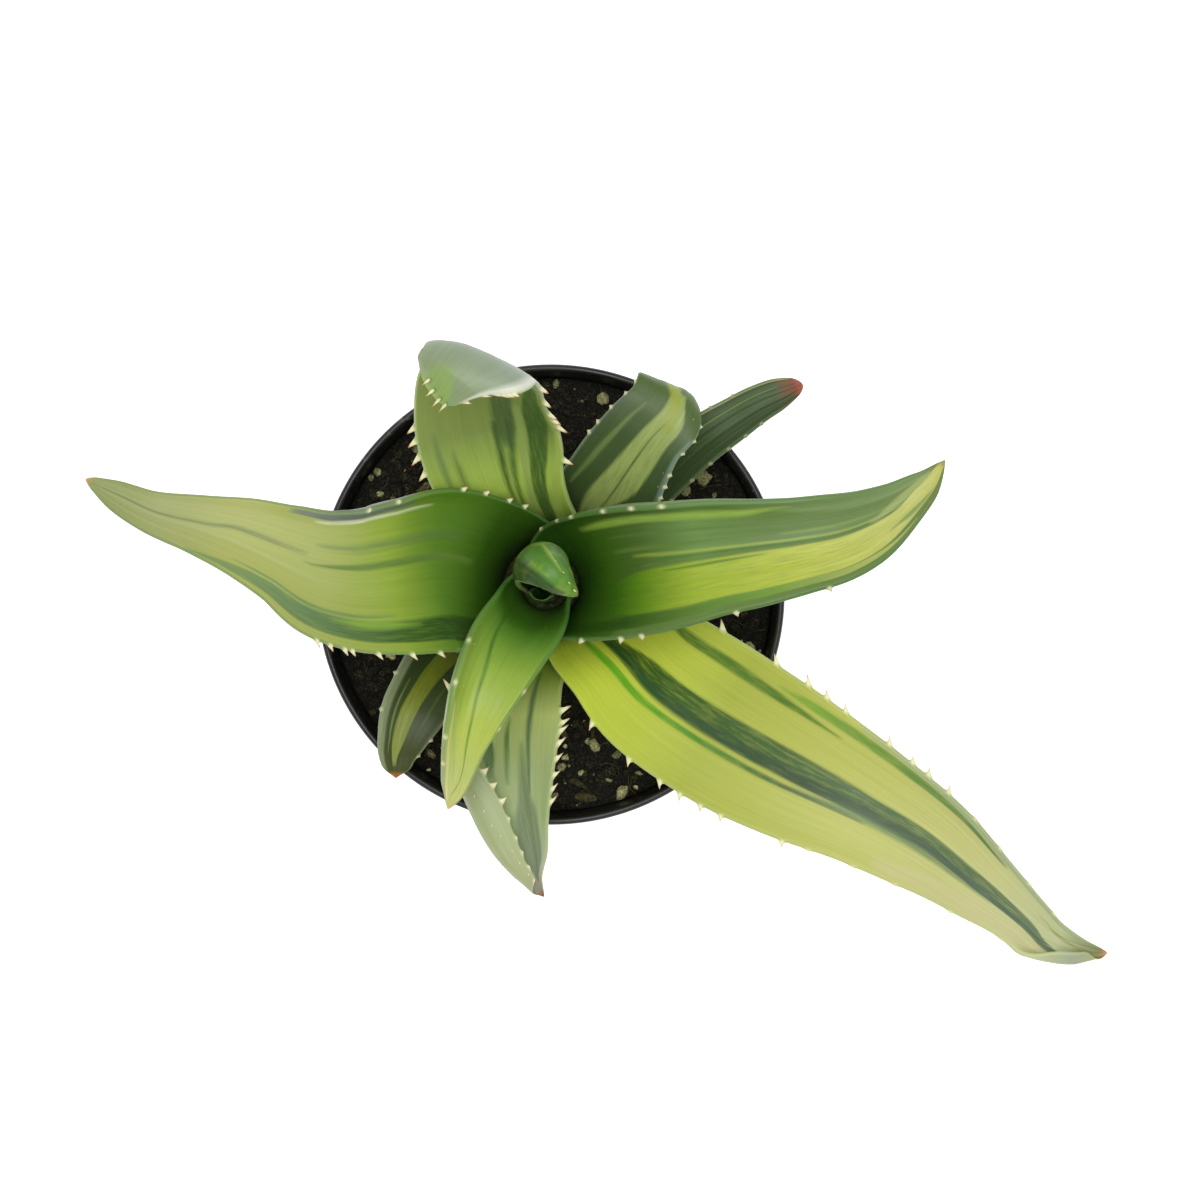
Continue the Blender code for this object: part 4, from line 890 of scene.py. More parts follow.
        faces = self._faces(len(at), count)
        for v, u, under, height in self.plan.prickles:
            cone, sides = self._prickle(v, u, under, height)
            faces += [tuple(k + len(vertices) for k in side) for side in sides]
            vertices = np.concatenate([vertices, cone[:, :3]])
            same = {"across": u, "under": under, "inset": self.FAR_FROM_MARGIN, "along": v}
            for key, value in same.items():
                flat[key] = np.append(flat[key], np.full(len(cone), value))
            flat["horn"] = np.append(flat["horn"], cone[:, 3])
        return make_piece(self.plan.name, vertices, faces, flat)

    def _prickle(
        self, v: float, u: float, under: int, height: float
    ) -> tuple[np.ndarray, Faces]:
        """A small hooked prickle that stands on a face, away from the margin.

        Args:
            v: Where it stands, as a share of the length.
            u: Where it stands across the blade.
            under: 1 on the underside, 0 on the upper face.
            height: Its height, in millimetres.

        Returns:
            Its points with the share of the way up in the last column, and its faces.
        """
        section = self.form.sections(np.array([v * self.form.length]))
        place = self.form.spread(section, np.array([[abs(u)]]), 1 if u >= 0 else -1)
        foot, up, thickness = place[0][0, 0], place[1][0, 0], place[3][0, 0]
        if under:
            foot, up = foot - up * thickness, -up
        ahead = section.tangent[0]
        aside = np.cross(up, ahead)
        sides, levels = self.PRICKLE_SIDES, self.PRICKLE_LEVELS
        rows = []
        for share in levels:
            radius = height * 0.26 * (1.0 - share) ** 1.1
            middle = foot + up * height * (share * 0.7 - 0.1) + ahead * height * share**1.3
            for turn in np.arange(sides) * 2 * math.pi / sides:
                rim = ahead * math.cos(turn) * 1.5 + aside * math.sin(turn)
                rows.append((*(middle + rim * radius), share))
        rows.append((*(foot + up * height * 0.6 + ahead * height), 1.0))
        faces = sleeve(len(levels), sides)
        last = (len(levels) - 1) * sides
        faces += [(last + k, last + (k + 1) % sides, last + sides) for k in range(sides)]
        faces.append(tuple(range(sides))[::-1])
        return np.array(rows), faces

    def _faces(self, rings: int, count: int) -> Faces:
        """Faces between the rings, the closed foot and the point of the tip.

        Args:
            rings: Number of sections.
            count: Points of a section.

        Returns:
            The faces.
        """
        faces = sleeve(rings, count)
        last = (rings - 1) * count
        faces += [(last + j, last + (j + 1) % count, rings * count) for j in range(count)]
        c = self.columns
        low = [c + self.arc + k for k in range(c)][::-1]
        faces += [(j + 1, j, low[j], low[j + 1]) for j in range(c - 1)]
        faces.append((low[-1], *range(c + self.arc - 1, c - 1, -1), c - 1))
        faces.append((0, *range(count - 1, count - self.arc - 1, -1), low[0]))
        return faces


def make_piece(
    name: str,
    vertices: np.ndarray,
    faces: Faces,
    values: dict[str, np.ndarray] | None = None,
) -> bpy.types.Object:
    """Turn points in millimetres into a smooth object.

    Args:
        name: Name of the piece.
        vertices: One row for each point.
        faces: Corners of each face.
        values: A number at each point, by name, for the finish to read.

    Returns:
        The new object, linked to the scene.
    """
    mesh = bpy.data.meshes.new(name)
    mesh.from_pydata((vertices * MM).tolist(), [], faces)
    for key, numbers in (values or {}).items():
        layer = mesh.attributes.new(key, "FLOAT", "POINT")
        layer.data.foreach_set("value", numbers.astype(np.float32))
    mesh.update()
    mesh.shade_smooth()
    piece = bpy.data.objects.new(name, mesh)
    bpy.context.scene.collection.objects.link(piece)
    return piece


def revolve(
    profile: list[tuple[float, float]], sides: int, centre: tuple[float, float] = (0.0, 0.0)
) -> tuple[np.ndarray, Faces]:
    """Body of revolution of a profile whose two ends lie on the axis.

    Args:
        profile: Radius and height of each corner.
        sides: Steps round the axis.
        centre: Place of the axis.

    Returns:
        Points and faces, the faces turned outwards for a profile that runs from the
        bottom of the axis outwards and up.
    """
    turns = np.arange(sides) * 2 * math.pi / sides
    points = [(centre[0], centre[1], profile[0][1])]
    for radius, height in profile[1:-1]:
        x = centre[0] + radius * np.cos(turns)
        y = centre[1] + radius * np.sin(turns)
        points += list(zip(x, y, np.full(sides, height)))
    points.append((centre[0], centre[1], profile[-1][1]))
    faces = []
    rings = len(profile) - 2
    top = len(points) - 1
    for k in range(sides):
        n = (k + 1) % sides
        faces.append((0, 1 + n, 1 + k))
        for i in range(rings - 1):
            a, b = 1 + i * sides, 1 + (i + 1) * sides
            faces.append((a + k, a + n, b + n, b + k))
        last = 1 + (rings - 1) * sides
        faces.append((last + k, last + n, top))
    return np.array(points), faces


def dress(piece: bpy.types.Object, finish: bpy.types.Material, slot: str, *nodes: str) -> None:
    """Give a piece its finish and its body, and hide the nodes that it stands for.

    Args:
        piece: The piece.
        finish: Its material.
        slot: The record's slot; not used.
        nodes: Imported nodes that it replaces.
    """
    piece.data.materials.clear()
    piece.data.materials.append(finish)
    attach(piece, BODY)
    if nodes:
        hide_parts(*nodes)
    LOG.info("%s: %d faces", piece.name, len(piece.data.polygons))


@dataclass
class NurseryPot:
    """Thin pot with a rolled rim band and a ring of drain holes, pressed a little oval.

    Attributes:
        height: Height of the rim.
        rim_radius: Outer radius of the rim band.
        rim_width: Width of the rolled rim.
        band_depth: Depth of the rim band.
        base_radius: Outer radius at the foot.
        wall: Thickness of the wall.
        floor: Thickness of the floor.
        sides: Steps round the axis.
        drain_radius: Radius of a drain hole.
        drain_ring: Distance of the drain holes from the axis.
        drain_count: Number of drain holes.
        oval: How much longer it is from west to east than from south to north.
        shift: How far its middle lies east of the frame's.
    """

    height: float = 95.0
    rim_radius: float = 55.0
    rim_width: float = 1.8
    band_depth: float = 9.0
    base_radius: float = 38.0
    wall: float = 1.1
    floor: float = 1.6
    sides: int = 192
    drain_radius: float = 4.0
    drain_ring: float = 28.5
    drain_count: int = 8
    oval: float = 1.0155
    shift: float = -1.05

    def pressed(self, x: float | np.ndarray) -> float | np.ndarray:
        """Where a place of the round plan lies in the oval pot, along x."""
        return x * self.oval + self.shift

    @property
    def band(self) -> float:
        """Height of the ledge under the rim band."""
        return self.height - self.band_depth

    def wall_radius(self, height: float) -> float:
        """Outer radius of the wall at a height, below the rim band."""
        top = self.rim_radius - self.rim_width + 0.4
        return self.base_radius + (top - self.base_radius) * min(height / self.band, 1.0)

    def inner_radius(self, height: float) -> float:
        """Inner radius of the pot.

        Args:
            height: Height above the ground.

        Returns:
            The radius there.
        """
        if height < self.band:
            return self.wall_radius(height) - self.wall
        share = (height - self.band) / self.band_depth
        return self.wall_radius(self.band) - self.wall + share * 0.7

    def profile(self) -> list[tuple[float, float]]:
        """Section of the pot from the middle of its foot, up the outside and down the inside.

        Returns:
            Radius and height of each corner.
        """
        base, rim, band = self.base_radius, self.rim_radius, self.band
        section = [(0.0, 0.0), (12.0, 0.0), (24.0, 0.0), (33.0, 0.0), (base - 1.2, 0.0)]
        section += [(base - 0.6, 0.12), (base - 0.3, 0.35), (base - 0.05, 0.75), (base + 0.1, 1.3)]
        section += [(self.wall_radius(h), h) for h in np.linspace(6.0, band - 1.2, 15)]
        section += [(self.wall_radius(band - 0.6), band - 0.6), (rim - 1.0, band - 0.1)]
        section += [(rim - 0.5, band + 0.3), (rim - 0.22, band + 0.6), (rim - 0.1, band + 1.0)]
        section += [(rim - 0.07, band + 3.0), (rim - 0.03, band + 6.0)]
        half = self.rim_width / 2
        for turn in np.linspace(0.0, math.pi, 13):
            radius = rim - half + half * math.cos(turn)
            section.append((radius, self.height - 1.0 + math.sin(turn)))
        inner = self.inner_radius
        section += [(inner(h), h) for h in (band + 5.5, band + 3.0, band + 0.5)]
        section += [(inner(h), h) for h in np.linspace(band - 1.0, 3.2, 14)]
        corner = inner(3.2)
        section += [(corner - 0.2, 2.5), (corner - 0.7, 1.9), (corner - 1.4, self.floor)]
        section += [(33.0, self.floor), (24.0, self.floor), (12.0, self.floor), (0.0, self.floor)]
        return section

    def build(self) -> bpy.types.Object:
        """Turn the section and cut the drain holes.

        Returns:
            The pot.
        """
        pot = make_piece("nursery_pot", *revolve(self.profile(), self.sides))
        holes = bpy.data.collections.new("drain_holes")
        bpy.context.scene.collection.children.link(holes)
        for k in range(self.drain_count):
            turn = 2 * math.pi * (k + 0.5) / self.drain_count
            centre = (self.drain_ring * math.cos(turn), self.drain_ring * math.sin(turn))
            section = [(0.0, -2.0), (self.drain_radius, -2.0), (self.drain_radius, 4.0), (0.0, 4.0)]
            hole = make_piece(f"drain_hole_{k}", *revolve(section, 48, centre))
            bpy.context.scene.collection.objects.unlink(hole)
            holes.objects.link(hole)
        cut = pot.modifiers.new("drain_holes", "BOOLEAN")
        cut.operand_type = "COLLECTION"
        cut.collection = holes
        cut.operation = "DIFFERENCE"
        cut.solver = "EXACT"
        graph = bpy.context.evaluated_depsgraph_get()
        pierced = bpy.data.meshes.new_from_object(pot.evaluated_get(graph), depsgraph=graph)
        pot.modifiers.clear()
        pot.data = pierced
        for hole in list(holes.objects):
            bpy.data.objects.remove(hole, do_unlink=True)
        bpy.data.collections.remove(holes)
        for vertex in pierced.vertices:
            vertex.co.x = self.pressed(vertex.co.x / MM) * MM
        pierced.set_sharp_from_angle(angle=math.radians(50))
        return pot


@dataclass
class Stem:
    """Short ringed stem with a scar ledge and a neck for each pair of sheaths.

    Attributes:
        crown: The rings that carry the sheaths.
        foot: Height of the lowest point, in the soil.
        soil_top: Height at which the stem leaves the soil.
        neck: Radius just under the soil.
        clearance: Gap between a sheath and its ring.
        neck_slack: How much slimmer a neck is than the sheath round it.
        scar_reach: How far a scar ledge stands out.
        sides: Steps round the axis.
    """

    crown: Crown
    foot: float = 58.0
    soil_top: float = 86.0
    neck: float = 13.0
    clearance: float = 0.3
    neck_slack: float = 0.6
    scar_reach: float = 0.9
    sides: int = 120

    def profile(self) -> list[tuple[float, float]]:
        """Section of the stem from its foot to its heart.

        Returns:
            Radius and height of each corner.
        """
        radii, heights = self.crown.radii, self.crown.heights
        section = [
            (0.0, self.foot),
            (6.0, self.foot + 0.6),
            (9.5, self.foot + 6.0),
            (self.neck, self.soil_top - 10.0),
            (radii[0] - 1.2, self.soil_top - 4.0),
        ]
        gap = self.clearance + self.neck_slack
        for i, (height, radius) in enumerate(zip(heights, radii)):
            reach = radius + self.scar_reach
            if i > 0:
                reach = min(reach, radii[i - 1] - gap)
            section += [
                (reach - 0.5, height - 2.1),
                (reach, height - 1.3),
                (reach - 0.35, height - self.clearance),
                (radius - gap, height - self.clearance),
            ]
        section += [(radii[-1] - self.clearance, heights[-1] + 2.0), (0.0, heights[-1] + 2.8)]
        return section

    def build(self) -> bpy.types.Object:
        """Turn the section with more rings and a rough bark.

        Returns:
            The stem.
        """
        corners = self.profile()
        fine = [corners[0]]
        for a, b in zip(corners, corners[1:]):
            count = max(1, int(math.hypot(b[0] - a[0], b[1] - a[1]) / 0.9))
            fine += [
                (a[0] + (b[0] - a[0]) * k / count, a[1] + (b[1] - a[1]) * k / count)
                for k in range(1, count + 1)
            ]
        axis = (self.crown.axis_x, self.crown.axis_y)
        points, faces = revolve(fine, self.sides, axis)
        for point in points:
            rough = noise.noise(Vector(point) * 0.9) + 0.5 * noise.noise(Vector(point) * 2.3)
            away = point[:2] - axis
            reach = float(np.linalg.norm(away))
            if reach > 0.5:
                point[:2] = axis + away * (1.0 - 0.22 * abs(rough) / reach)
        return make_piece("stem_bark", points, faces)


@dataclass
class PottingMix:
    """Peat with crumbs, pumice, bark slivers and fibres lying on its uneven top.

    Attributes:
        pot: The pot that it fills.
        crown: Where the stem stands.
        top: Mean height of the surface.
        bump: Height of its swells.
        hole: Radius of the plain hole of the stem.
        well: Height of the bottom of that hole.
        rings: Steps from the hole to the wall.
        sides: Steps round the axis.
        clearance: Gap to the wall.
        crumbs: Number of peat crumbs.
        grains: Number of scattered pumice grains.
        slivers: Number of bark slivers.
        fibres: Number of root fibres.
        seed: Start of the random draws.
        crumb_sizes: Least half length, what is added at most, and the power of the draw.
        grain_sizes: The same for the grains.
        sliver_sizes: The same for the slivers.
        fibre_sizes: Points round a fibre, points along it, and its lift off the mix.
        seen_grains: Place and half length of the coarse grains.
        seen_slivers: Place and half length of the large slivers.
    """

    pot: NurseryPot
    crown: Crown
    top: float = 86.0
    bump: float = 1.3
    hole: float = 18.3
    well: float = 57.0
    rings: int = 52
    sides: int = 300
    clearance: float = 0.35
    crumbs: int = 1900
    grains: int = 240
    slivers: int = 46
    fibres: int = 60
    seed: int = 41
    crumb_sizes: tuple[float, float, float] = (0.45, 1.25, 2.6)
    grain_sizes: tuple[float, float, float] = (0.35, 1.0, 2.2)
    sliver_sizes: tuple[float, float, float] = (1.2, 3.4 - 1.2, 1.0)
    fibre_sizes: tuple[int, int, float] = (5, 12, 0.25)
    seen_slivers: tuple = ((7.0, -48.9, 3.4), (8.9, -34.2, 2.1))
    seen_grains: tuple = (
        (35.5, 28.1, 1.9), (31.2, 25.2, 1.5), (11.4, 47.2, 1.6), (16.0, -47.6, 1.9),
        (9.3, -36.2, 1.8), (12.6, -44.6, 1.1), (14.8, -38.6, 1.2), (-30.0, -38.4, 1.3),
        (-39.6, -14.8, 1.2), (46.8, -12.4, 1.4),
    )

    def __post_init__(self) -> None:
        """Start the random draws."""
        self.rng = random.Random(self.seed)

    def height(self, x: float, y: float) -> float:
        """Uneven surface of the mix, with its fine crumb.

        Args:
            x: Place to the right.
            y: Place to the top.

        Returns:
            Its height there.
        """
        wave = math.sin(x * 0.31 + 1.3) * math.cos(y * 0.27 - 0.4)
        fine = math.sin(x * 0.83 - y * 0.61 + 2.0) * 0.45 + math.cos(x * 0.57 + y * 0.93) * 0.35
        crumb = noise.fractal(Vector((x * 0.55, y * 0.55, 0.0)), 0.9, 2.2, 4)
        return self.top + self.bump * (0.5 * wave + 0.5 * fine) + 0.55 * crumb

    def _level(self, radius: float, height: float, turns: np.ndarray) -> list[tuple[float, ...]]:
        """A level ring of points that follows the oval of the pot."""
        pressed = self.pot.pressed
        return [(pressed(radius * math.cos(t)), radius * math.sin(t), height) for t in turns]

    def bed(self) -> bpy.types.Object:
        """Body of the mix, from the pot's floor to its crumbly top.

        Returns:
            The piece.
        """
        edge = self.pot.inner_radius(self.top) - self.clearance
        turns = np.arange(self.sides) * 2 * math.pi / self.sides
        axis = (self.crown.axis_x, self.crown.axis_y)
        hole = [(axis[0] + self.hole * math.cos(t), axis[1] + self.hole * math.sin(t))
                for t in turns]
        points = []
        for share in np.linspace(0.0, 1.0, self.rings):
            for turn, near in zip(turns, hole):
                x = near[0] + (self.pot.pressed(edge * math.cos(turn)) - near[0]) * share
                y = near[1] + (edge * math.sin(turn) - near[1]) * share
                points.append((x, y, self.height(x, y) - (0.3 if share == 1.0 else 0.0)))
        for height in (62.0, 30.0, 3.4):
            points += self._level(self.pot.inner_radius(height) - self.clearance, height, turns)
        floor = self.pot.floor + 0.3
        points += self._level(self.pot.inner_radius(3.4) - 2.2, floor, turns)
        count = self.rings + 4
        faces = []
        for i in range(count - 1):
            a, b = i * self.sides, (i + 1) * self.sides
            for k in range(self.sides):
                n = (k + 1) % self.sides
                faces.append((a + k, b + k, b + n, a + n))
        well = len(points)
        points += [(x, y, self.well) for x, y in hole]
        bottom = len(points)
        points += [(*axis, self.well), (0.0, 0.0, floor)]
        last = (count - 1) * self.sides
        for k in range(self.sides):
            n = (k + 1) % self.sides
            faces.append((n, well + n, well + k, k))
            faces.append((well + k, well + n, bottom))
            faces.append((last + n, last + k, bottom + 1))
        return make_piece("peat_bed", np.array(points), faces)

    def _place(self, size: float) -> tuple[float, float]:
        """Find a free place on the open mix.

        Args:
            size: Half length of what lies there.

        Returns:
            The place.
        """
        rim = self.pot.inner_radius(self.top)
        while True:
            turn = self.rng.uniform(0.0, 2 * math.pi)
            reach = math.sqrt(self.rng.uniform(0.0, 1.0)) * (rim - size - 0.5)
            x, y = self.pot.pressed(reach * math.cos(turn)), reach * math.sin(turn)
            if math.hypot(x - self.crown.axis_x, y - self.crown.axis_y) > self.hole + size + 0.4:
                return x, y

    def _lumps(
        self, name: str, places: list[tuple[float, float, float]], shape: tuple[float, float],
        detail: int, rough: float, sink: float,
    ) -> bpy.types.Object:
        """Irregular lumps resting in the mix, as one piece.

        Args:
            name: Name of the piece.
            places: Place and half length of each lump.
            shape: Width and height as shares of the length.
            detail: Fineness of a lump.
            rough: How uneven a lump is.
            sink: Share of its height that lies in the mix.

        Returns:
            The piece, with a shade number for each lump.
        """
        ball, corners = icosphere(detail)
        points, faces, shades = [], [], []
        for x, y, size in places:
            wide = size * shape[0] * self.rng.uniform(0.8, 1.2)
            high = size * shape[1] * self.rng.uniform(0.8, 1.2)
            where = Vector((x, y, size)) * 7.3
            body = np.array([
                p * (1.0 + rough * noise.noise(Vector(p) * 1.6 + where)
                     + rough * 0.5 * noise.noise(Vector(p) * 4.1 + where)) for p in ball
            ])
            body = body * (size, wide, high)
            tilt = self.rng.uniform(-0.35, 0.35)
            spin = self.rng.uniform(0.0, 2 * math.pi)
            body = body @ turn_about("y", tilt).T @ turn_about("z", spin).T
            lift = self.height(x, y) + high * (0.8 - sink * 2)
            start = sum(len(p) for p in points)
            points.append(body + (x, y, lift))
            faces += [(a + start, b + start, c + start) for a, b, c in corners]
            shades.append(np.full(len(ball), self.rng.random()))
        return make_piece(name, np.concatenate(points), faces, {"shade": np.concatenate(shades)})

    def _scatter(self, count: int, sizes: tuple[float, float, float]) -> list:
        """Draw free places, for many small things and a few large ones.

        Args:
            count: Number of places.
            sizes: Least half length, what is added at most, and the power of the draw.

        Returns:
            Place and half length of each.
        """
        places = []
        for _ in range(count):
            size = sizes[0] + sizes[1] * self.rng.random() ** sizes[2]
            places.append((*self._place(size), size))
        return places

    def crumb_layer(self) -> bpy.types.Object:
        """Loose crumbs of peat, many small and a few large."""
        places = self._scatter(self.crumbs, self.crumb_sizes)
        return self._lumps("peat_crumbs", places, (0.85, 0.7), 1, 0.42, 0.3)

    def grain_layer(self) -> bpy.types.Object:
        """Pumice: the coarse grains first, then a scatter of small ones."""
        places = [*self.seen_grains, *self._scatter(self.grains, self.grain_sizes)]
        return self._lumps("pumice_grains", places, (0.78, 0.7), 2, 0.34, 0.22)

    def sliver_layer(self) -> bpy.types.Object:
        """Flat slivers of bark, two of them placed."""
        places = [*self.seen_slivers, *self._scatter(self.slivers, self.sliver_sizes)]
        return self._lumps("bark_slivers", places, (0.3, 0.2), 2, 0.3, 0.1)

    def fibre_layer(self) -> bpy.types.Object:
        """Thin curved fibres lying on the mix.

        Returns:
            The piece.
        """
        points, faces, shades = [], [], []
        sides, steps, lift_off = self.fibre_sizes
        for _ in range(self.fibres):
            length = self.rng.uniform(3.0, 8.0)
            x, y = self._place(length / 2)
            heading = self.rng.uniform(0.0, 2 * math.pi)
            curl = self.rng.uniform(-0.22, 0.22)
            radius = self.rng.uniform(0.07, 0.15)
            shade = self.rng.random()
            start = len(points)
            for i in range(steps):
                z = self.height(x, y) + lift_off + 0.5 * math.sin(math.pi * i / steps)
                away = Vector((-math.sin(heading), math.cos(heading), 0.0))
                for k in range(sides):
                    turn = 2 * math.pi * k / sides
                    lift = math.sin(turn) * radius
                    point = Vector((x, y, z + lift)) + away * math.cos(turn) * radius
                    points.append(tuple(point))
                    shades.append(shade)
                x += math.cos(heading) * length / steps
                y += math.sin(heading) * length / steps
                heading += curl
            faces += sleeve(steps, sides, start)
            faces.append(tuple(start + k for k in range(sides))[::-1])
            faces.append(tuple(start + (steps - 1) * sides + k for k in range(sides)))
        return make_piece("root_fibres", np.array(points), faces, {"shade": np.array(shades)})


def turn_about(axis: str, angle: float) -> np.ndarray:
    """Matrix of a turn.

    Args:
        axis: y or z.
        angle: The turn in radians.

    Returns:
        The matrix.
    """
    c, s = math.cos(angle), math.sin(angle)
    if axis == "z":
        return np.array([(c, -s, 0.0), (s, c, 0.0), (0.0, 0.0, 1.0)])
    return np.array([(c, 0.0, s), (0.0, 1.0, 0.0), (-s, 0.0, c)])


def icosphere(detail: int) -> tuple[np.ndarray, Faces]:
    """Points and faces of a unit ball of even triangles.

    Args:
        detail: How many times each triangle of an icosahedron is split in four.

    Returns:
        Points and faces.
    """
    golden = (1 + math.sqrt(5)) / 2
    points = [
        Vector(p).normalized() for p in (
            (-1, golden, 0), (1, golden, 0), (-1, -golden, 0), (1, -golden, 0),
            (0, -1, golden), (0, 1, golden), (0, -1, -golden), (0, 1, -golden),
            (golden, 0, -1), (golden, 0, 1), (-golden, 0, -1), (-golden, 0, 1),
        )
    ]
    faces = [
        (0, 11, 5), (0, 5, 1), (0, 1, 7), (0, 7, 10), (0, 10, 11), (1, 5, 9), (5, 11, 4),
        (11, 10, 2), (10, 7, 6), (7, 1, 8), (3, 9, 4), (3, 4, 2), (3, 2, 6), (3, 6, 8),
        (3, 8, 9), (4, 9, 5), (2, 4, 11), (6, 2, 10), (8, 6, 7), (9, 8, 1),
    ]
    for _ in range(detail):
        halves: dict[tuple[int, int], int] = {}
        split = []
        for face in faces:
            middles = []
            for a, b in ((0, 1), (1, 2), (2, 0)):
                pair = tuple(sorted((face[a], face[b])))
                if pair not in halves:
                    halves[pair] = len(points)
                    points.append(((points[pair[0]] + points[pair[1]]) / 2).normalized())
                middles.append(halves[pair])
            a, b, c = middles
            split += [(face[0], a, c), (face[1], b, a), (face[2], c, b), (a, b, c)]
        faces = split
    return np.array([tuple(p) for p in points]), faces


@dataclass(frozen=True)
class Stripe:
    """A stripe along a blade.

    Attributes:
        run: Its line as (along, across, half width) at rising lengths, in hundredths.
        tone: Its colour, or colours at rising lengths in hundredths; a few tones are painted highlights
            and a few painted shade.
        strength: How much it covers what lies under it.
        feather: How softly its sides fade, as a share of the half width of the blade.
        face: The face that it lies on.
    """

    run: tuple[tuple[float, float, float], ...]
    tone: str | Stops
    strength: float = 0.9
    feather: float = 0.03
    face: Face = Face.UPPER


@dataclass(frozen=True)
class Dress:
    """Colours of one leaf.

    Attributes:
        ground: Colour of the upper face between its stripes, at lengths in hundredths; on the leaves
            deep in the crown its dark first stops are partly painted shade.
        under: Colour of the underside, at lengths in hundredths.
        stripes: Stripes in the order in which they cover each other; a few are painted highlights and a
            few painted shade, not markings of the leaf.
        tip: Colour of the dry point.
        tip_from: Where the dry point starts.
        under_mix: How much the underside has a colour of its own.
        mottle: Strength of light patches on the underside.
        rim: Colour of the rounded margin.
        rim_strength: How much the margin has that colour.
        point: Colour of the points of the teeth.
        horn: How much the teeth have the colour of horn.
    """

    ground: Stops
    under: Stops = ((0, "#5d7a3c"), (100, "#8fa27c"))
    stripes: tuple[Stripe, ...] = ()
    tip: str = "#8a5a32"
    tip_from: float = 0.985
    under_mix: float = 0.6
    mottle: float = 0.0
    rim: str = "#b9c486"
    rim_strength: float = 0.3
    point: str = "#dfa884"
    horn: float = 0.92


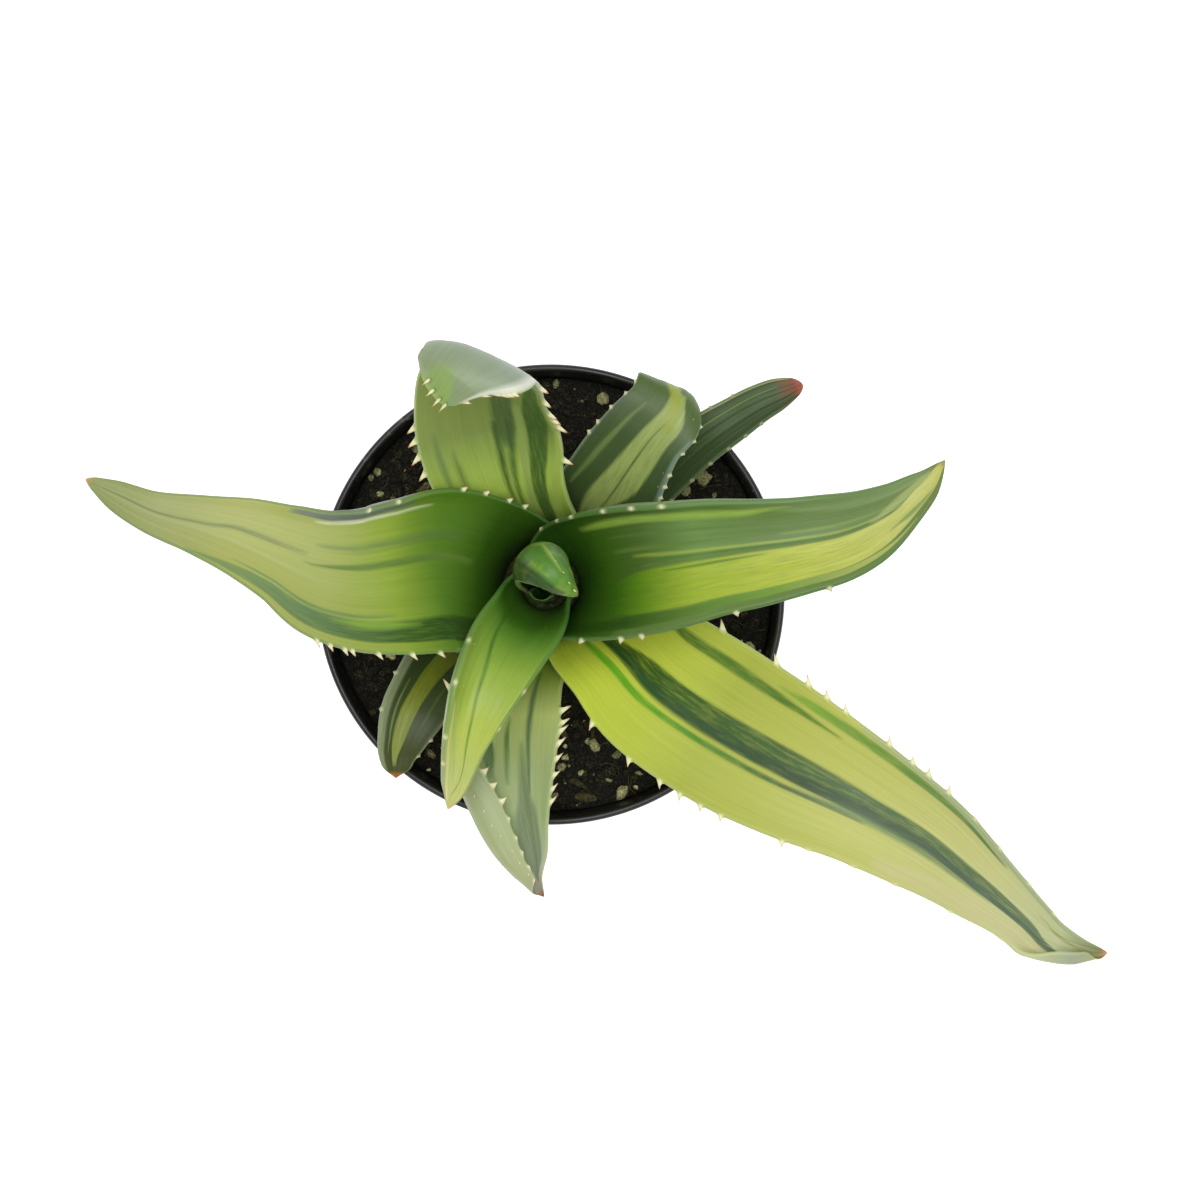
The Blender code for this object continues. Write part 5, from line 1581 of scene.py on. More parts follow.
DRESSES = {
    "leaf_southeast": Dress(
        ground=((5, "#c8df44"), (12, "#cbda45"), (35, "#a4ad42"), (60, "#b1b45c"), (80, "#babb7e"),
                (93, "#b4bb8f"), (100, "#666f3f")),
        under=((0, "#7f9440"), (90, "#b5bd80"), (95.5, "#98a48c"), (98.5, "#a6ab73")),
        tip="#c0805a", tip_from=0.996, under_mix=0.85, rim_strength=0.15,
        stripes=(
            Stripe(((65, -80, 10), (80, -70, 25), (95, -60, 30)), "#c0ba87", 0.6, 0.12),
            Stripe(((55, 97, 3), (70, 97, 8), (95, 97, 12)), "#8c9c79", 0.8, 0.05),
            Stripe(((8, -12, 6), (15, -10, 10), (25, -2, 18), (45, -2, 18), (60, -3, 18), (70, 0, 17),
                    (80, 2, 20), (87, -5, 19), (91, -25, 12), (95, -50, 4)), ((30, "#224e0d"),
                    (50, "#2a531a"), (65, "#375a2e"), (90, "#586c4a"))),
            Stripe(((12, -14, 4), (20, -13, 7), (45, -13, 8), (70, -10, 8), (87, -14, 7), (93, -35, 3)),
                    ((20, "#274e24"), (50, "#223e19"), (80, "#4d614f")), 0.85, 0.05),
            Stripe(((7, -36, 3), (12, -36, 5), (20, -35.5, 5), (27, -32, 3.5), (43, -31, 4),
                    (58, -28, 1.5)), ((10, "#67b820"), (50, "#213c13"))),
            Stripe(((50, -28, 2), (60, -23, 6), (70, -22, 5), (80, -22, 1)), "#577447", 0.75, 0.05),
            Stripe(((18, 72, 5), (25, 70, 7), (40, 67, 6), (50, 66, 2)), "#49711b"),
            Stripe(((42, 80, 2), (47, 82, 6), (60, 84, 7), (78, 83, 3)), ((45, "#719a30"),
                    (75, "#466d39"))),
            Stripe(((90, 50, 2), (95, 10, 10), (99, -30, 10)), "#8c8c47", 0.7, 0.06),
        ),
    ),
    "leaf_east": Dress(
        # The dark first stops of this ground are partly painted shade of the crown round the foot,
        # partly the leaf's own deep green.
        ground=((0, "#16300a"), (12, "#2a560d"), (25, "#3b5f12"), (34, "#466125"), (46, "#62833e"),
                (60, "#587332"), (85, "#61783f"), (100, "#717831")),
        tip="#8f7a48", tip_from=0.99, rim="#4a6f32", rim_strength=0.5, point="#c98a72", horn=0.7,
        stripes=(
            Stripe(((55, 92, 5), (70, 88, 20), (95, 80, 25)), "#728b54", 0.8, 0.06),
            Stripe(((22, 72, 3), (30, 73, 6), (55, 74, 6), (64, 86, 2)), "#90ad44", 0.8, 0.05),
            Stripe(((28, 50, 1.2), (40, 50, 2), (70, 50, 2), (86, 50, 1)), "#55702c", 0.8),
            Stripe(((28, 30, 2), (40, 30, 3), (58, 30, 2)), "#59762d", 0.8),
            Stripe(((64, 30, 2), (75, 30, 3), (87, 28, 1.5)), "#738e3d", 0.8),
            Stripe(((33, 20, 1.5), (50, 17, 2.5), (70, 14, 2.5), (86, 12, 1.5)), "#8ca037", 0.85),
            Stripe(((26, -34, 24), (34, -34, 33), (50, -34, 36), (80, -34, 35), (86, -30, 36),
                    (92, -15, 45), (100, 0, 60)), ((26, "#37630d"), (33, "#58810d"), (45, "#97ab26"),
                    (65, "#acb63b"), (85, "#b8ba63"))),
            Stripe(((38, 12, 1.5), (60, 10, 2), (86, 7, 1)), "#40681b"),
            Stripe(((35, 5, 1.5), (60, 4.5, 2), (80, 4, 1)), "#597226"),
            Stripe(((40, -5, 1), (48, -5, 1.8), (58, -5, 0.8)), "#35620e"),
            Stripe(((10, -80, 14), (20, -78, 11), (50, -77.5, 8.5), (78, -78, 6), (87, -82, 2)),
                    ((30, "#2b4e10"), (60, "#6b902e"), (80, "#a5af5a"))),
            Stripe(((30, -94, 6), (50, -94, 8), (82, -94, 7)), "#5c7635"),
            Stripe(((85, -40, 3), (90, -45, 12), (95, -50, 3)), "#6e8a44", 0.85, 0.06),
            Stripe(((82, 10, 5), (88, 30, 12), (95, 50, 15)), "#95a35d", 0.8, 0.06),
        ),
    ),
    "leaf_west": Dress(
        # The dark first stops of this ground are partly painted shade of the crown round the foot,
        # partly the leaf's own deep green.
        ground=((0, "#1c380a"), (20, "#34590e"), (30, "#567d1e"), (40, "#869e30"), (52, "#9aa455"),
                (70, "#9fa558"), (85, "#979e64"), (100, "#848e53")),
        under=((0, "#4f6a38"), (100, "#817e68")),
        tip="#b08a5a", tip_from=0.993, rim="#55803a", rim_strength=0.35, horn=0.8,
        stripes=(
            Stripe(((20, 70, 20), (30, 70, 16), (50, 70, 15), (60, 72, 15), (68, 80, 12), (77, 94, 5)),
                    ((25, "#25440d"), (40, "#285110"), (55, "#5b7a4d"), (70, "#718a54"))),
            Stripe(((42, 48, 1), (50, 50, 2.5), (62, 52, 2.5), (68, 55, 1)), "#5c7f47"),
            Stripe(((38, 60, 2), (44, 60, 6), (49, 60, 2)), "#88ab39", 0.7, 0.05),
            Stripe(((24, -18, 3), (35, -18, 4.5), (45, -18, 4.5), (52, -15, 3), (56, -11, 1.2)),
                    "#5c792e"),
            Stripe(((27, -43, 3), (40, -43, 5), (55, -43, 2)), "#557141", 0.6, 0.06),
            Stripe(((59, -25, 2), (70, -25, 5), (77, -10, 5), (85, -5, 5), (92, -10, 5), (98, 0, 2)),
                    "#4d6139", 0.6, 0.06),
            Stripe(((36, -93, 6), (50, -92, 10), (62, -93, 6)), "#6a7372"),
            # Painted highlight: a near-white streak of sheen along the upper face.
            Stripe(((33, -80, 1.5), (45, -80, 2.5), (57, -80, 1.5)), "#ededd4", 0.7),
        ),
    ),
    "leaf_south_young": Dress(
        # The near-black first stop of this ground is partly painted shade of the funnel at the centre,
        # partly the leaf's own deep green.
        ground=((0, "#17310b"), (28, "#548a23"), (36, "#6c9a36"), (50, "#8aa73f"), (60, "#93a93e"),
                (70, "#acbb50"), (85, "#b3be67"), (100, "#c1c170")),
        tip="#d9a98a", tip_from=0.985, rim="#3f6f2a", rim_strength=0.5, horn=0.6,
        stripes=(
            Stripe(((64, -88, 8), (75, -88, 14), (98, -85, 18)), "#e3db98", 0.6, 0.06),
            Stripe(((28, -43, 3), (40, -35, 4), (50, -20, 4.5), (55, -15, 4), (65, -8, 3.5),
                    (75, 0, 3.5), (85, 10, 3), (90, -5, 3), (95, -40, 2)), "#3e6a22", 0.75, 0.05),
            Stripe(((63, -75, 5), (70, -60, 6), (75, -50, 5), (82, -42, 4), (87, -40, 2)), "#96b06e",
                    0.6, 0.05),
        ),
    ),
    "leaf_centre_hood": Dress(
        # The dark green of the whole upper face is partly painted shade of the hollow that it lines.
        ground=((0, "#1c330e"), (100, "#2a451a")),
        under=((0, "#386519"), (60, "#3e691d"), (100, "#5f9430")),
        under_mix=0.9, mottle=0.3,
        stripes=(
            Stripe(((50, -35, 10), (70, -35, 16), (90, -30, 10)), "#3c5b2b", 0.6, 0.08, Face.UNDER),
            # Painted shade: this near-black band on the underside stands for the dark opening beside
            # the hood.
            Stripe(((50, 75, 25), (90, 75, 25)), "#0d150d", 0.7, 0.1, Face.UNDER),
            Stripe(((70, 0, 3), (76, 0, 5), (82, 2, 3)), "#90a74d", 0.8, 0.04, Face.UNDER),
        ),
    ),
    "leaf_heart": Dress(
        # The near-black tip stop of this ground is painted shade of the hollow round the heart.
        ground=((0, "#338313"), (100, "#0d100d")),
        under=((0, "#24400f"), (100, "#16540d")),
    ),
    "leaf_north": Dress(
        ground=((0, "#5a7a2a"), (15, "#7f9a3a"), (30, "#b3ce59"), (50, "#889a50"), (75, "#8a9a4c"),
                (80, "#99a987"), (100, "#8aa070")),
        under=((0, "#6d8450"), (70, "#82967a"), (85, "#8c9a88"), (95, "#808f67"), (100, "#809b64")),
        tip="#98aa60", tip_from=0.99, under_mix=0.95, point="#e08a5a",
        stripes=(
            Stripe(((36, 75, 2), (43, 75, 5), (51, 74, 1.5)), "#5f774c", 0.6, 0.05),
            Stripe(((33, 55, 2), (39, 55, 4), (45, 55, 1.5)), "#4f6a36", 0.6, 0.05),
            Stripe(((25, -3, 3), (38, -6, 5), (52, -10, 5)), "#365626", 0.85, 0.05),
            Stripe(((22, -14, 3), (35, -20, 5), (52, -30, 6)), "#476c2d", 0.85, 0.05),
            Stripe(((45, -22, 8), (52, -25, 15), (60, -27, 17), (75, -30, 14)), "#4f663b", 0.85, 0.06),
            Stripe(((18, -30, 4), (35, -38, 5), (62, -50, 5)), "#99ae5f", 0.9, 0.04),
            Stripe(((10, -48, 6), (18, -50, 10), (40, -62, 14), (60, -75, 17), (77, -80, 10)),
                    "#43642a"),
            Stripe(((10, -68, 6), (18, -72, 8), (30, -86, 7), (40, -94, 5), (62, -98, 3)), "#aabf5b"),
            # Painted sheen, partly the waxy bloom: a near-white band on the underside by the margin
            # where the blade rolls over.
            Stripe(((72, -96, 5), (80, -94, 8), (90, -94, 10), (95, -94, 6)), "#d6d7ca", 0.8, 0.08,
                    Face.UNDER),
            Stripe(((94, 20, 20), (97, 10, 45), (100, 0, 80)), "#88a354", 0.8, 0.15, Face.UNDER),
        ),
    ),
    "leaf_northeast_broad": Dress(
        ground=((0, "#223818"), (30, "#3e522b"), (60, "#3d5128"), (80, "#4d622f"), (100, "#5a753a")),
        tip="#6f8a4a", tip_from=0.99, rim="#6f8a62", point="#c9c79a", horn=0.6,
        stripes=(
            Stripe(((36, 75, 3), (50, 65, 6), (70, 50, 3)), "#697c42", 0.9, 0.05),
            Stripe(((20, 15, 12), (25, 15, 16), (50, -15, 38), (70, -25, 35), (80, -10, 20)), "#96a55c",
                    0.9, 0.05),
            Stripe(((26, 0, 1), (45, -8, 2.5), (74, -20, 1.2)), "#425f2d"),
            # Painted highlight: the yellow-green band where the blade bends over and down.
            Stripe(((70, -30, 15), (78, -5, 16), (85, 20, 16), (93, 30, 10)), "#8e993b", 0.9, 0.08),
            Stripe(((30, 97, 4), (70, 97, 7)), "#424b33", 0.8),
            Stripe(((30, -97, 4), (70, -97, 7)), "#6a7b6f", 0.8),
        ),
    ),
    "leaf_northeast_narrow": Dress(
        ground=((0, "#2c431b"), (90, "#304813"), (95.5, "#683d15"), (100, "#702f17")),
        tip="#8a3f24", tip_from=0.975, rim="#4a5f3a", point="#7a3a2a", horn=0.3,
        stripes=(
            Stripe(((30, -60, 30), (95, -60, 30)), "#2e4218", 0.9, 0.06),
            Stripe(((60, 65, 3), (75, 60, 6), (90, 55, 4)), "#36480d"),
            Stripe(((60, 40, 2), (75, 42, 3), (90, 45, 2)), "#678211"),
            Stripe(((52, 5, 1.5), (65, -8, 3), (77, -20, 3), (90, 0, 2)), "#37520d"),
            Stripe(((30, 93, 5), (95, 93, 7)), "#a1a874", 0.8, 0.05),
        ),
    ),
    "leaf_southwest": Dress(
        ground=((0, "#26370f"), (40, "#2c3f18"), (100, "#3c440d")),
        tip="#8f5a22", tip_from=0.975, rim="#8f9f7a", horn=0.45,
        stripes=(
            Stripe(((20, 5, 12), (45, 0, 25), (60, -5, 25), (80, -12, 26), (93, -12, 12)),
                    ((30, "#6a7420"), (60, "#788219"), (85, "#84903c"))),
            Stripe(((54, 50, 2), (65, 50, 4), (73, 50, 2)), "#44591c"),
            Stripe(((60, -53, 2), (75, -53, 3.5), (88, -50, 2)), "#66803d"),
            Stripe(((30, -87, 10), (60, -88, 14), (95, -86, 15)), "#858e69", 0.9, 0.06),
        ),
    ),
    "leaf_south_folded": Dress(
        ground=((0, "#44602a"), (25, "#839a37"), (40, "#afbd6c"), (50, "#a0ae69"), (60, "#91a067"),
                (75, "#8c9d65"), (90, "#a3a991"), (100, "#796c61")),
        under=((0, "#6d8450"), (55, "#8f9a70"), (80, "#a1ab7c"), (100, "#a5a878")),
        under_mix=0.9,
        stripes=(
            Stripe(((52, 32, 1), (66, 32, 12), (76, 30, 34), (85, 30, 40), (93, 30, 20)), "#50643c",
                    0.7, 0.08),
            Stripe(((24, 45, 3), (35, 45, 5), (66, 45, 3)), "#405f3e", 0.85, 0.04),
            Stripe(((43, 10, 2), (50, 6, 4), (62, 0, 2)), "#4c742d", 0.85, 0.04),
            Stripe(((48, -25, 4), (53, -25, 10), (59, -25, 4)), "#426336", 0.8, 0.05),
        ),
    ),
}


def shares(stops: Stops) -> list[tuple[float, str]]:
    """Colour stops in hundredths as shares of the length."""
    return [(place / 100, code) for place, code in stops]


@dataclass(frozen=True)
class AloeSkin:
    """Skin of a living aloe leaf: a waxy cuticle over green and yellow tissue.

    The wax gives the eye a soft, wide sheen and veils the green a little; the stripes lie
    in the tissue, so their sides are feathered along the fibres. The margin and the teeth
    are horn, cream at the foot and rusty at the point.

    Attributes:
        roughness: Roughness of the waxy cuticle.
        ior: Index of refraction of plant wax.
        fibre: Length over which a fibre keeps its colour and the spacing of the fibres, in
            millimetres, coarser than real so that it shows.
        thread: The same for the fine threads that break up a stripe.
        swell: Length and width of the slow swells that bend a stripe.
        wander: How far a stripe strays from its line.
        feather: How far the fibres pull the sides of a stripe.
        fade: Length over which the ends of a stripe fade, as a share of the blade.
        margin: Width of the horny line along the margin, in millimetres.
        horn_foot: Colour of the margin and the foot of a tooth.
        horn_middle: Colour half way up a tooth.
        patch: Colour of the light patches, about 3 mm across, on a young underside.
        relief: Depth of the fibres, in millimetres.
        threads_cover: Noise of the threads from and to, and the cover of a stripe there.
        patch_edge: Noise from and to which a light patch fades in.
        fibre_light: How much the fibres lighten the skin, and its light between them.
    """

    roughness: float = 0.46
    ior: float = 1.42
    fibre: tuple[float, float, float] = (34.0, 0.55, 3.0)
    thread: tuple[float, float, float] = (7.0, 0.5, 5.0)
    swell: tuple[float, float, float] = (34.0, 9.0, 1.7)
    wander: float = 0.03
    feather: float = 0.07
    fade: float = 0.02
    margin: float = 0.4
    horn_foot: str = "#cdd29a"
    horn_middle: str = "#e9e2b8"
    patch: str = "#9ab23c"
    relief: float = 0.12
    threads_cover: tuple[float, float, float, float] = (0.3, 0.56, 0.72, 1.06)
    patch_edge: tuple[float, float] = (0.48, 0.62)
    fibre_light: tuple[float, float] = (0.34, 0.83)

    def material(self, name: str, form: BladeForm, dress_of: Dress) -> bpy.types.Material:
        """Make the skin of one leaf.

        Args:
            name: Name of the leaf.
            form: Its form, which gives the real length and width.
            dress_of: Its colours.

        Returns:
            The material.
        """
        board = Board(f"aloe_skin_{name}")
        add = board.add
        along, across, under = (
            add("Attribute", out="Fac", attribute_name=key) for key in ("along", "across", "under")
        )
        length = add("Math", {0: along, 1: form.length}, operation="MULTIPLY")
        width = add("Math", {0: across, 1: form.half_width}, operation="MULTIPLY")
        sheet = add("CombineXYZ", {0: length, 1: width, 2: under})
        clouds = []
        for (run, spacing, apart), detail, rough in (
            (self.fibre, 3.0, 0.6), (self.swell, 1.0, 0.5), (self.thread, 3.0, 0.65),
        ):
            scale = (1 / run, 1 / spacing, apart)
            drawn = add("VectorMath", {0: sheet, 1: scale}, operation="MULTIPLY")
            clouds.append(add("TexNoise", {
                "Vector": drawn, "Scale": 1.0, "Detail": detail, "Roughness": rough,
            }))
        streak, swell, thread = clouds
        stray = add("Math", {0: swell, 1: self.wander, 2: across}, operation="MULTIPLY_ADD")
        stray = add("Math", {0: streak, 1: self.feather, 2: stray}, operation="MULTIPLY_ADD")
        centred = 1.0 - 0.5 * (self.wander + self.feather)
        place = add("Math", {0: stray, 1: centred}, operation="ADD")
        vein = add("MapRange", dict(enumerate((thread, *self.threads_cover))))
        upper = add("ValToRGB", {0: along}, stops=shares(dress_of.ground))
        low = add("ValToRGB", {0: along}, stops=shares(dress_of.under))
        upper = self._striped(board, upper, dress_of, Face.UPPER, along, place, vein)
        lower = add("Mix", {0: dress_of.under_mix, 6: upper, 7: low}, 2, data_type="RGBA")
        if dress_of.mottle:
            patches = add("TexNoise", {"Vector": sheet, "Scale": 0.34, "Detail": 2.0})
            cover = add("MapRange", {
                0: patches, 1: self.patch_edge[0], 2: self.patch_edge[1], 4: dress_of.mottle,
            }, interpolation_type="SMOOTHSTEP")
            lower = add("Mix", {0: cover, 6: lower, 7: paint(self.patch)}, 2, data_type="RGBA")
        lower = self._striped(board, lower, dress_of, Face.UNDER, along, place, vein)
        colour = add("Mix", {0: under, 6: upper, 7: lower}, 2, data_type="RGBA")
        light, base = self.fibre_light
        value = add("Math", {0: streak, 1: light, 2: base}, operation="MULTIPLY_ADD")
        colour = add("HueSaturation", {"Value": value, "Color": colour})
        colour = self._horn(board, colour, along, dress_of)
        gloss = add("Math", {0: streak, 1: 0.16, 2: self.roughness - 0.08},
                    operation="MULTIPLY_ADD")
        grain = add("TexNoise", {"Vector": sheet, "Scale": 2.4, "Detail": 2.0})
        height = add("Math", {0: grain, 1: 0.5, 2: streak}, operation="MULTIPLY_ADD")
        bump = add("Bump", {"Height": height, "Strength": 0.35, "Distance": self.relief * MM})
        return board.finish(add("BsdfPrincipled", {
            "Base Color": colour, "Roughness": gloss, "IOR": self.ior, "Normal": bump,
            "Subsurface Weight": 0.12, "Subsurface Radius": (0.9, 1.0, 0.35),
            "Subsurface Scale": 0.0012,
        }))

    def _striped(
        self, board: Board, colour: Socket, dress_of: Dress, face: Face, along: Socket,
        place: Socket, vein: Socket,
    ) -> Socket:
        """Lay the stripes of one face over its colour.

        Args:
            board: The material's nodes.
            colour: What lies under the stripes.
            dress_of: Colours of the leaf.
            face: The face.
            along: Share of the way along the blade.
            place: Place across plus one.
            vein: How far the fibres let a stripe cover what lies under it.

        Returns:
            The striped colour.
        """
        add = board.add
        for stripe in (s for s in dress_of.stripes if s.face is face):
            run = [(v / 100, u / 100, half / 100) for v, u, half in stripe.run]
            first, last = run[0][0], run[-1][0]
            line = add("RGBCurve", {1: along}, curves=(
                [(v, (u + 1) / 2) for v, u, _ in run],
                [(v, half) for v, _, half in run],
                [(max(first - self.fade, 0.0), 0.0), (first + self.fade, 1.0),
                 (last - self.fade, 1.0), (min(last + self.fade, 1.0), 0.0)],
            ))
            middle, half_width, shown = add("SeparateColor", {0: line}, None).outputs
            away = add("Math", {0: middle, 1: -2.0, 2: place}, operation="MULTIPLY_ADD")
            away = add("Math", {0: away}, operation="ABSOLUTE")
            away = add("Math", {0: away, 1: half_width}, operation="SUBTRACT")
            cover = add("MapRange", {
                0: away, 1: stripe.feather, 2: -stripe.feather, 4: stripe.strength,
            }, interpolation_type="SMOOTHSTEP")
            for part in (shown, vein):
                cover = add("Math", {0: cover, 1: part}, operation="MULTIPLY")
            if isinstance(stripe.tone, str):
                tone = paint(stripe.tone)
            else:
                tone = add("ValToRGB", {0: along}, stops=shares(stripe.tone))
            colour = add("Mix", {0: cover, 6: colour, 7: tone}, 2, data_type="RGBA")
        return colour

    def _horn(self, board: Board, colour: Socket, along: Socket, dress_of: Dress) -> Socket:
        """Lay the horny margin, the teeth and the dry point over the skin.

        Args:
            board: The material's nodes.
            colour: Colour of the skin.
            along: Share of the way along the blade.
            dress_of: Colours of the leaf.

        Returns:
            The colour with its horn.
        """
        add = board.add
        horn, inset = (add("Attribute", out="Fac", attribute_name=key) for key in ("horn", "inset"))
        line = add("MapRange", {
            0: inset, 1: self.margin, 2: self.margin * 0.3, 4: dress_of.rim_strength,
        }, interpolation_type="SMOOTHSTEP")
        tooth = add("ValToRGB", {0: horn}, stops=(
            (0.0, self.horn_foot), (0.3, self.horn_middle), (0.6, self.horn_middle),
            (0.92, dress_of.point),
        ))
        cover = add("MapRange", {0: horn, 1: 0.02, 2: 0.3, 4: dress_of.horn})
        dry = add("MapRange", {
            0: along, 1: dress_of.tip_from - 0.01, 2: min(dress_of.tip_from + 0.01, 1.0),
        }, interpolation_type="SMOOTHSTEP")
        for share, over in ((line, paint(dress_of.rim)), (cover, tooth), (dry, paint(dress_of.tip))):
            colour = add("Mix", {0: share, 6: colour, 7: over}, 2, data_type="RGBA")
        return colour


@dataclass(frozen=True)
class MouldedPolypropylene:
    """Black polypropylene, thermoformed: a satin sheen, with dust that clings to it.

    Attributes:
        black: Colour of the plastic.
        worn: Colour where it is rubbed.
        dust: Colour of the specks of dust.
        roughness: Mean roughness.
        ior: Index of refraction.
    """

    black: str = "#101011"
    worn: str = "#23231f"
    dust: str = "#6a6452"
    roughness: float = 0.36
    ior: float = 1.49

    def material(self) -> bpy.types.Material:
        """Make the plastic.

        Returns:
            The material.
        """
        board = Board("moulded_polypropylene")
        add = board.add
        place = add("TexCoord", out="Object")
        broad, fine, specks = (
            add("TexNoise", {"Vector": place, "Scale": scale, "Detail": detail})
            for scale, detail in ((60.0, 4.0), (1400.0, 3.0), (420.0, 5.0))
        )
        colour = add("ValToRGB", {0: broad}, stops=((0.35, self.black), (0.75, self.worn)))
        dust = add("MapRange", {0: specks, 1: 0.62, 2: 0.74, 4: 0.55})
        colour = add("Mix", {0: dust, 6: colour, 7: paint(self.dust)}, 2, data_type="RGBA")
        gloss = add("MapRange", {0: broad, 3: self.roughness - 0.1, 4: self.roughness + 0.2})
        bump = add("Bump", {"Height": fine, "Strength": 0.2, "Distance": 0.08 * MM})
        return board.finish(add("BsdfPrincipled", {
            "Base Color": colour, "Roughness": gloss, "IOR": self.ior, "Normal": bump,
        }))


@dataclass(frozen=True)
class LooseMineral:
    """A dry, porous stuff of the mix: matt all over, with each lump of its own shade.

    Attributes:
        name: Name of the stuff.
        dark: Colour of its pores.
        light: Colour of its faces.
        pore: Size of a pore or fleck, in millimetres.
        relief: Depth of the pores, in millimetres.
        shaded: Whether each lump has a shade number.
        low: Height from which the flecks turn light.
        high: Height at which they are fully light.
    """

    name: str
    dark: str
    light: str
    pore: float
    relief: float
    shaded: bool = True
    low: float = 0.35
    high: float = 0.68

    def material(self) -> bpy.types.Material:
        """Make the stuff.

        Returns:
            The material.
        """
        board = Board(self.name)
        add = board.add
        fleck = add("TexNoise", {
            "Vector": add("TexCoord", out="Object"), "Scale": 1 / (self.pore * MM),
            "Detail": 5.0, "Roughness": 0.65,
        })
        flecks = ((self.low, self.dark), (self.high, self.light))
        colour = add("ValToRGB", {0: fleck}, stops=flecks)
        if self.shaded:
            shade = add("Attribute", out="Fac", attribute_name="shade")
            value = add("MapRange", {0: shade, 3: 0.45, 4: 1.35})
            colour = add("HueSaturation", {"Value": value, "Color": colour})
        depth = self.relief * MM
        bump = add("Bump", {"Height": fleck, "Strength": 0.8, "Distance": depth})
        return board.finish(add("BsdfPrincipled", {
            "Base Color": colour, "Roughness": 0.93, "IOR": 1.4, "Normal": bump,
        }))


# Moist peat swallows light, with straw-coloured flecks where fibres lie open.
PEAT = LooseMineral("peat", "#060503", "#3d3922", 0.5, 0.3, shaded=False, low=0.5, high=0.74)
CRUMB = LooseMineral("peat_crumb", "#070604", "#5a5432", 0.4, 0.15, low=0.48, high=0.74)
# Foamed glass, full of pores and stained by the peat: pale and quite without sheen.
PUMICE = LooseMineral("expanded_pumice", "#565730", "#cfc993", 0.5, 0.12)
# Chopped bark, broken along its layers: dull brown with lighter edges.
BARK = LooseMineral("pine_bark", "#1d1a0d", "#6a6238", 0.6, 0.1)
ROOT = LooseMineral("dry_root", "#2b2818", "#6f683f", 0.5, 0.03)
# Dead skin of the stem, cracked into coarse scales that let a little green through.
CORK = LooseMineral("aloe_cork", "#232c16", "#5c6436", 1.1, 0.2, shaded=False)


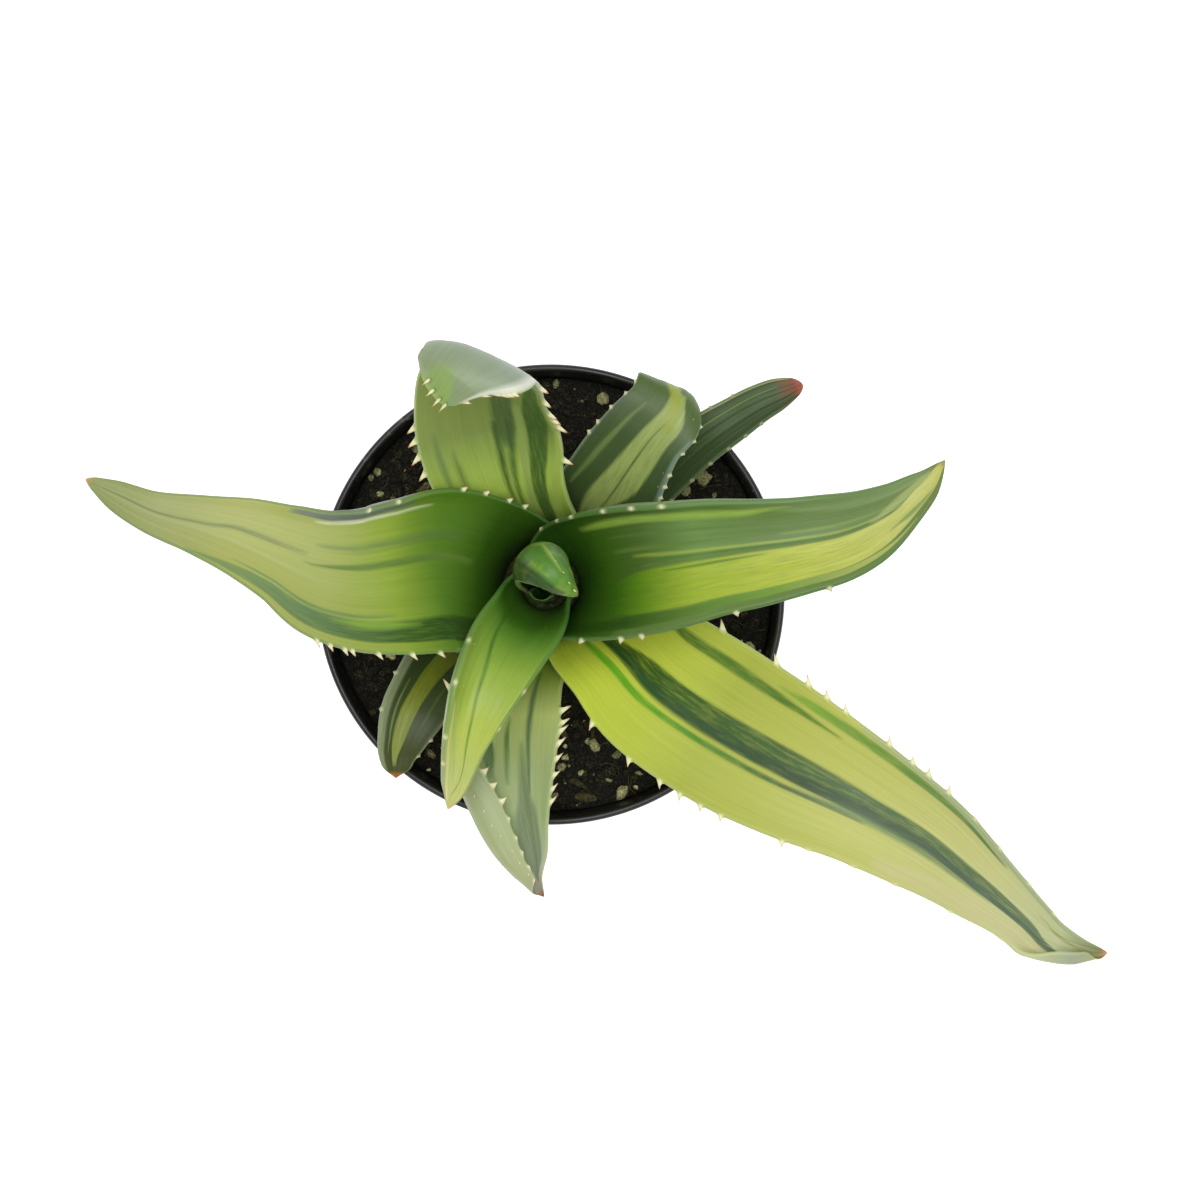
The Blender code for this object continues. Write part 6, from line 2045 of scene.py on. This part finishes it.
@dataclass
class Studio:
    """Pale floor, soft light from above and the camera that looks down at the plant.

    Attributes:
        eye: Place of the camera, in metres.
        focal_pixels: Focal length in pixels of the square frame.
        frame_pixels: Side of the square frame, in pixels.
        sensor: Width of the sensor, in millimetres.
        floor_side: Side of the floor, in metres.
        paints: Colours of the floor.
        glow: Strength of its own light.
        room: Strength of the even light of the room.
        lamps: Name, place, side in metres and power in watts of each lamp.
        aim: Place that the lamps point at.
    """

    eye: tuple[float, float, float] = (0.0107, -0.0013, 0.995)
    focal_pixels: float = 3772.0
    frame_pixels: float = 1200.0
    sensor: float = 36.0
    floor_side: float = 5.0
    paints: Stops = ((0.0, "#f4f4f3"), (1.0, "#fbfbfa"))
    glow: float = 0.55
    room: float = 0.52
    lamps: tuple = (
        ("key_lamp", (-0.08, 0.16, 1.6), 0.9, 12.0), ("fill_lamp", (0.25, -0.15, 1.4), 0.9, 4.0),
    )
    aim: tuple[float, float, float] = (0.0, 0.0, 0.1)

    def floor(self) -> None:
        """Lay the floor, matt white paint that also glows a little, so that it stays pale."""
        half = self.floor_side / 2 / MM
        corners = np.array([(-half, -half, 0), (half, -half, 0), (half, half, 0), (-half, half, 0)])
        floor = make_piece("studio_floor", corners, [(0, 1, 2, 3)])
        board = Board("matt_white_paint")
        place = board.add("TexCoord", out="Object")
        roll = board.add("TexNoise", {"Vector": place, "Scale": 300.0, "Detail": 2.0})
        colour = board.add("ValToRGB", {0: roll}, stops=self.paints)
        floor.data.materials.append(board.finish(board.add("BsdfPrincipled", {
            "Base Color": colour, "Roughness": 0.9,
            "Emission Color": (1.0, 1.0, 1.0, 1.0), "Emission Strength": self.glow,
        })))
        floor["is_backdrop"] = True

    def lights(self) -> None:
        """Hang broad lamps over the plant and fill the room with even light."""
        world = bpy.data.worlds.new("studio_room")
        world.use_nodes = True
        inputs = world.node_tree.nodes["Background"].inputs
        inputs[0].default_value = (1.0, 1.0, 1.0, 1.0)
        inputs[1].default_value = self.room
        bpy.context.scene.world = world
        for name, place, side, watts in self.lamps:
            lamp = bpy.data.lights.new(name, "AREA")
            lamp.size = side
            lamp.energy = watts
            holder = bpy.data.objects.new(name, lamp)
            holder.location = place
            aim = Vector(self.aim) - Vector(place)
            holder.rotation_euler = aim.to_track_quat("-Z", "Y").to_euler()
            bpy.context.scene.collection.objects.link(holder)

    def camera(self) -> None:
        """Hold the camera straight over the plant, the top of the frame towards +Y."""
        lens = bpy.data.cameras.new("camera")
        lens.sensor_width = self.sensor
        lens.lens = self.sensor * self.focal_pixels / self.frame_pixels
        holder = bpy.data.objects.new("camera", lens)
        holder.location = self.eye
        bpy.context.scene.collection.objects.link(holder)
        bpy.context.scene.camera = holder

    def build(self) -> None:
        """Set up the floor, the lights and the camera, and show colours as they are."""
        self.floor()
        self.lights()
        self.camera()
        bpy.context.scene.view_settings.view_transform = "Standard"


def main() -> None:
    """Build the potted plant and the studio round it."""
    logging.basicConfig(level=logging.INFO, format="%(name)s %(message)s")
    pot = NurseryPot()
    crown = Crown()
    dress(pot.build(), MouldedPolypropylene().material(), "pot_plastic", "pot")
    mix = PottingMix(pot, crown)
    for build, stuff, nodes in (
        (mix.bed, PEAT, ("soil",)), (mix.crumb_layer, CRUMB, ()), (mix.grain_layer, PUMICE, ()),
        (mix.sliver_layer, BARK, ()), (mix.fibre_layer, ROOT, ()),
    ):
        dress(build(), stuff.material(), "potting_mix", *nodes)
    dress(Stem(crown).build(), CORK.material(), "stem_skin", "stem")
    skin = AloeSkin()
    for plan in LEAVES:
        blade = Blade(plan, crown)
        finish = skin.material(plan.name, blade.form, DRESSES[plan.name])
        leaf = blade.build()
        leaf.name = plan.name + "_blade"
        dress(leaf, finish, "leaf_flesh", plan.name)
    Studio().build()


def write_sizes() -> None:
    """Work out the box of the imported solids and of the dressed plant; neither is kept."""
    boxes = {"cad": CAD_BOX, "visual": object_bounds()}
    {key: [list(corner) for corner in box] for key, box in boxes.items()}


if __name__ == "__main__":
    main()
    write_sizes()
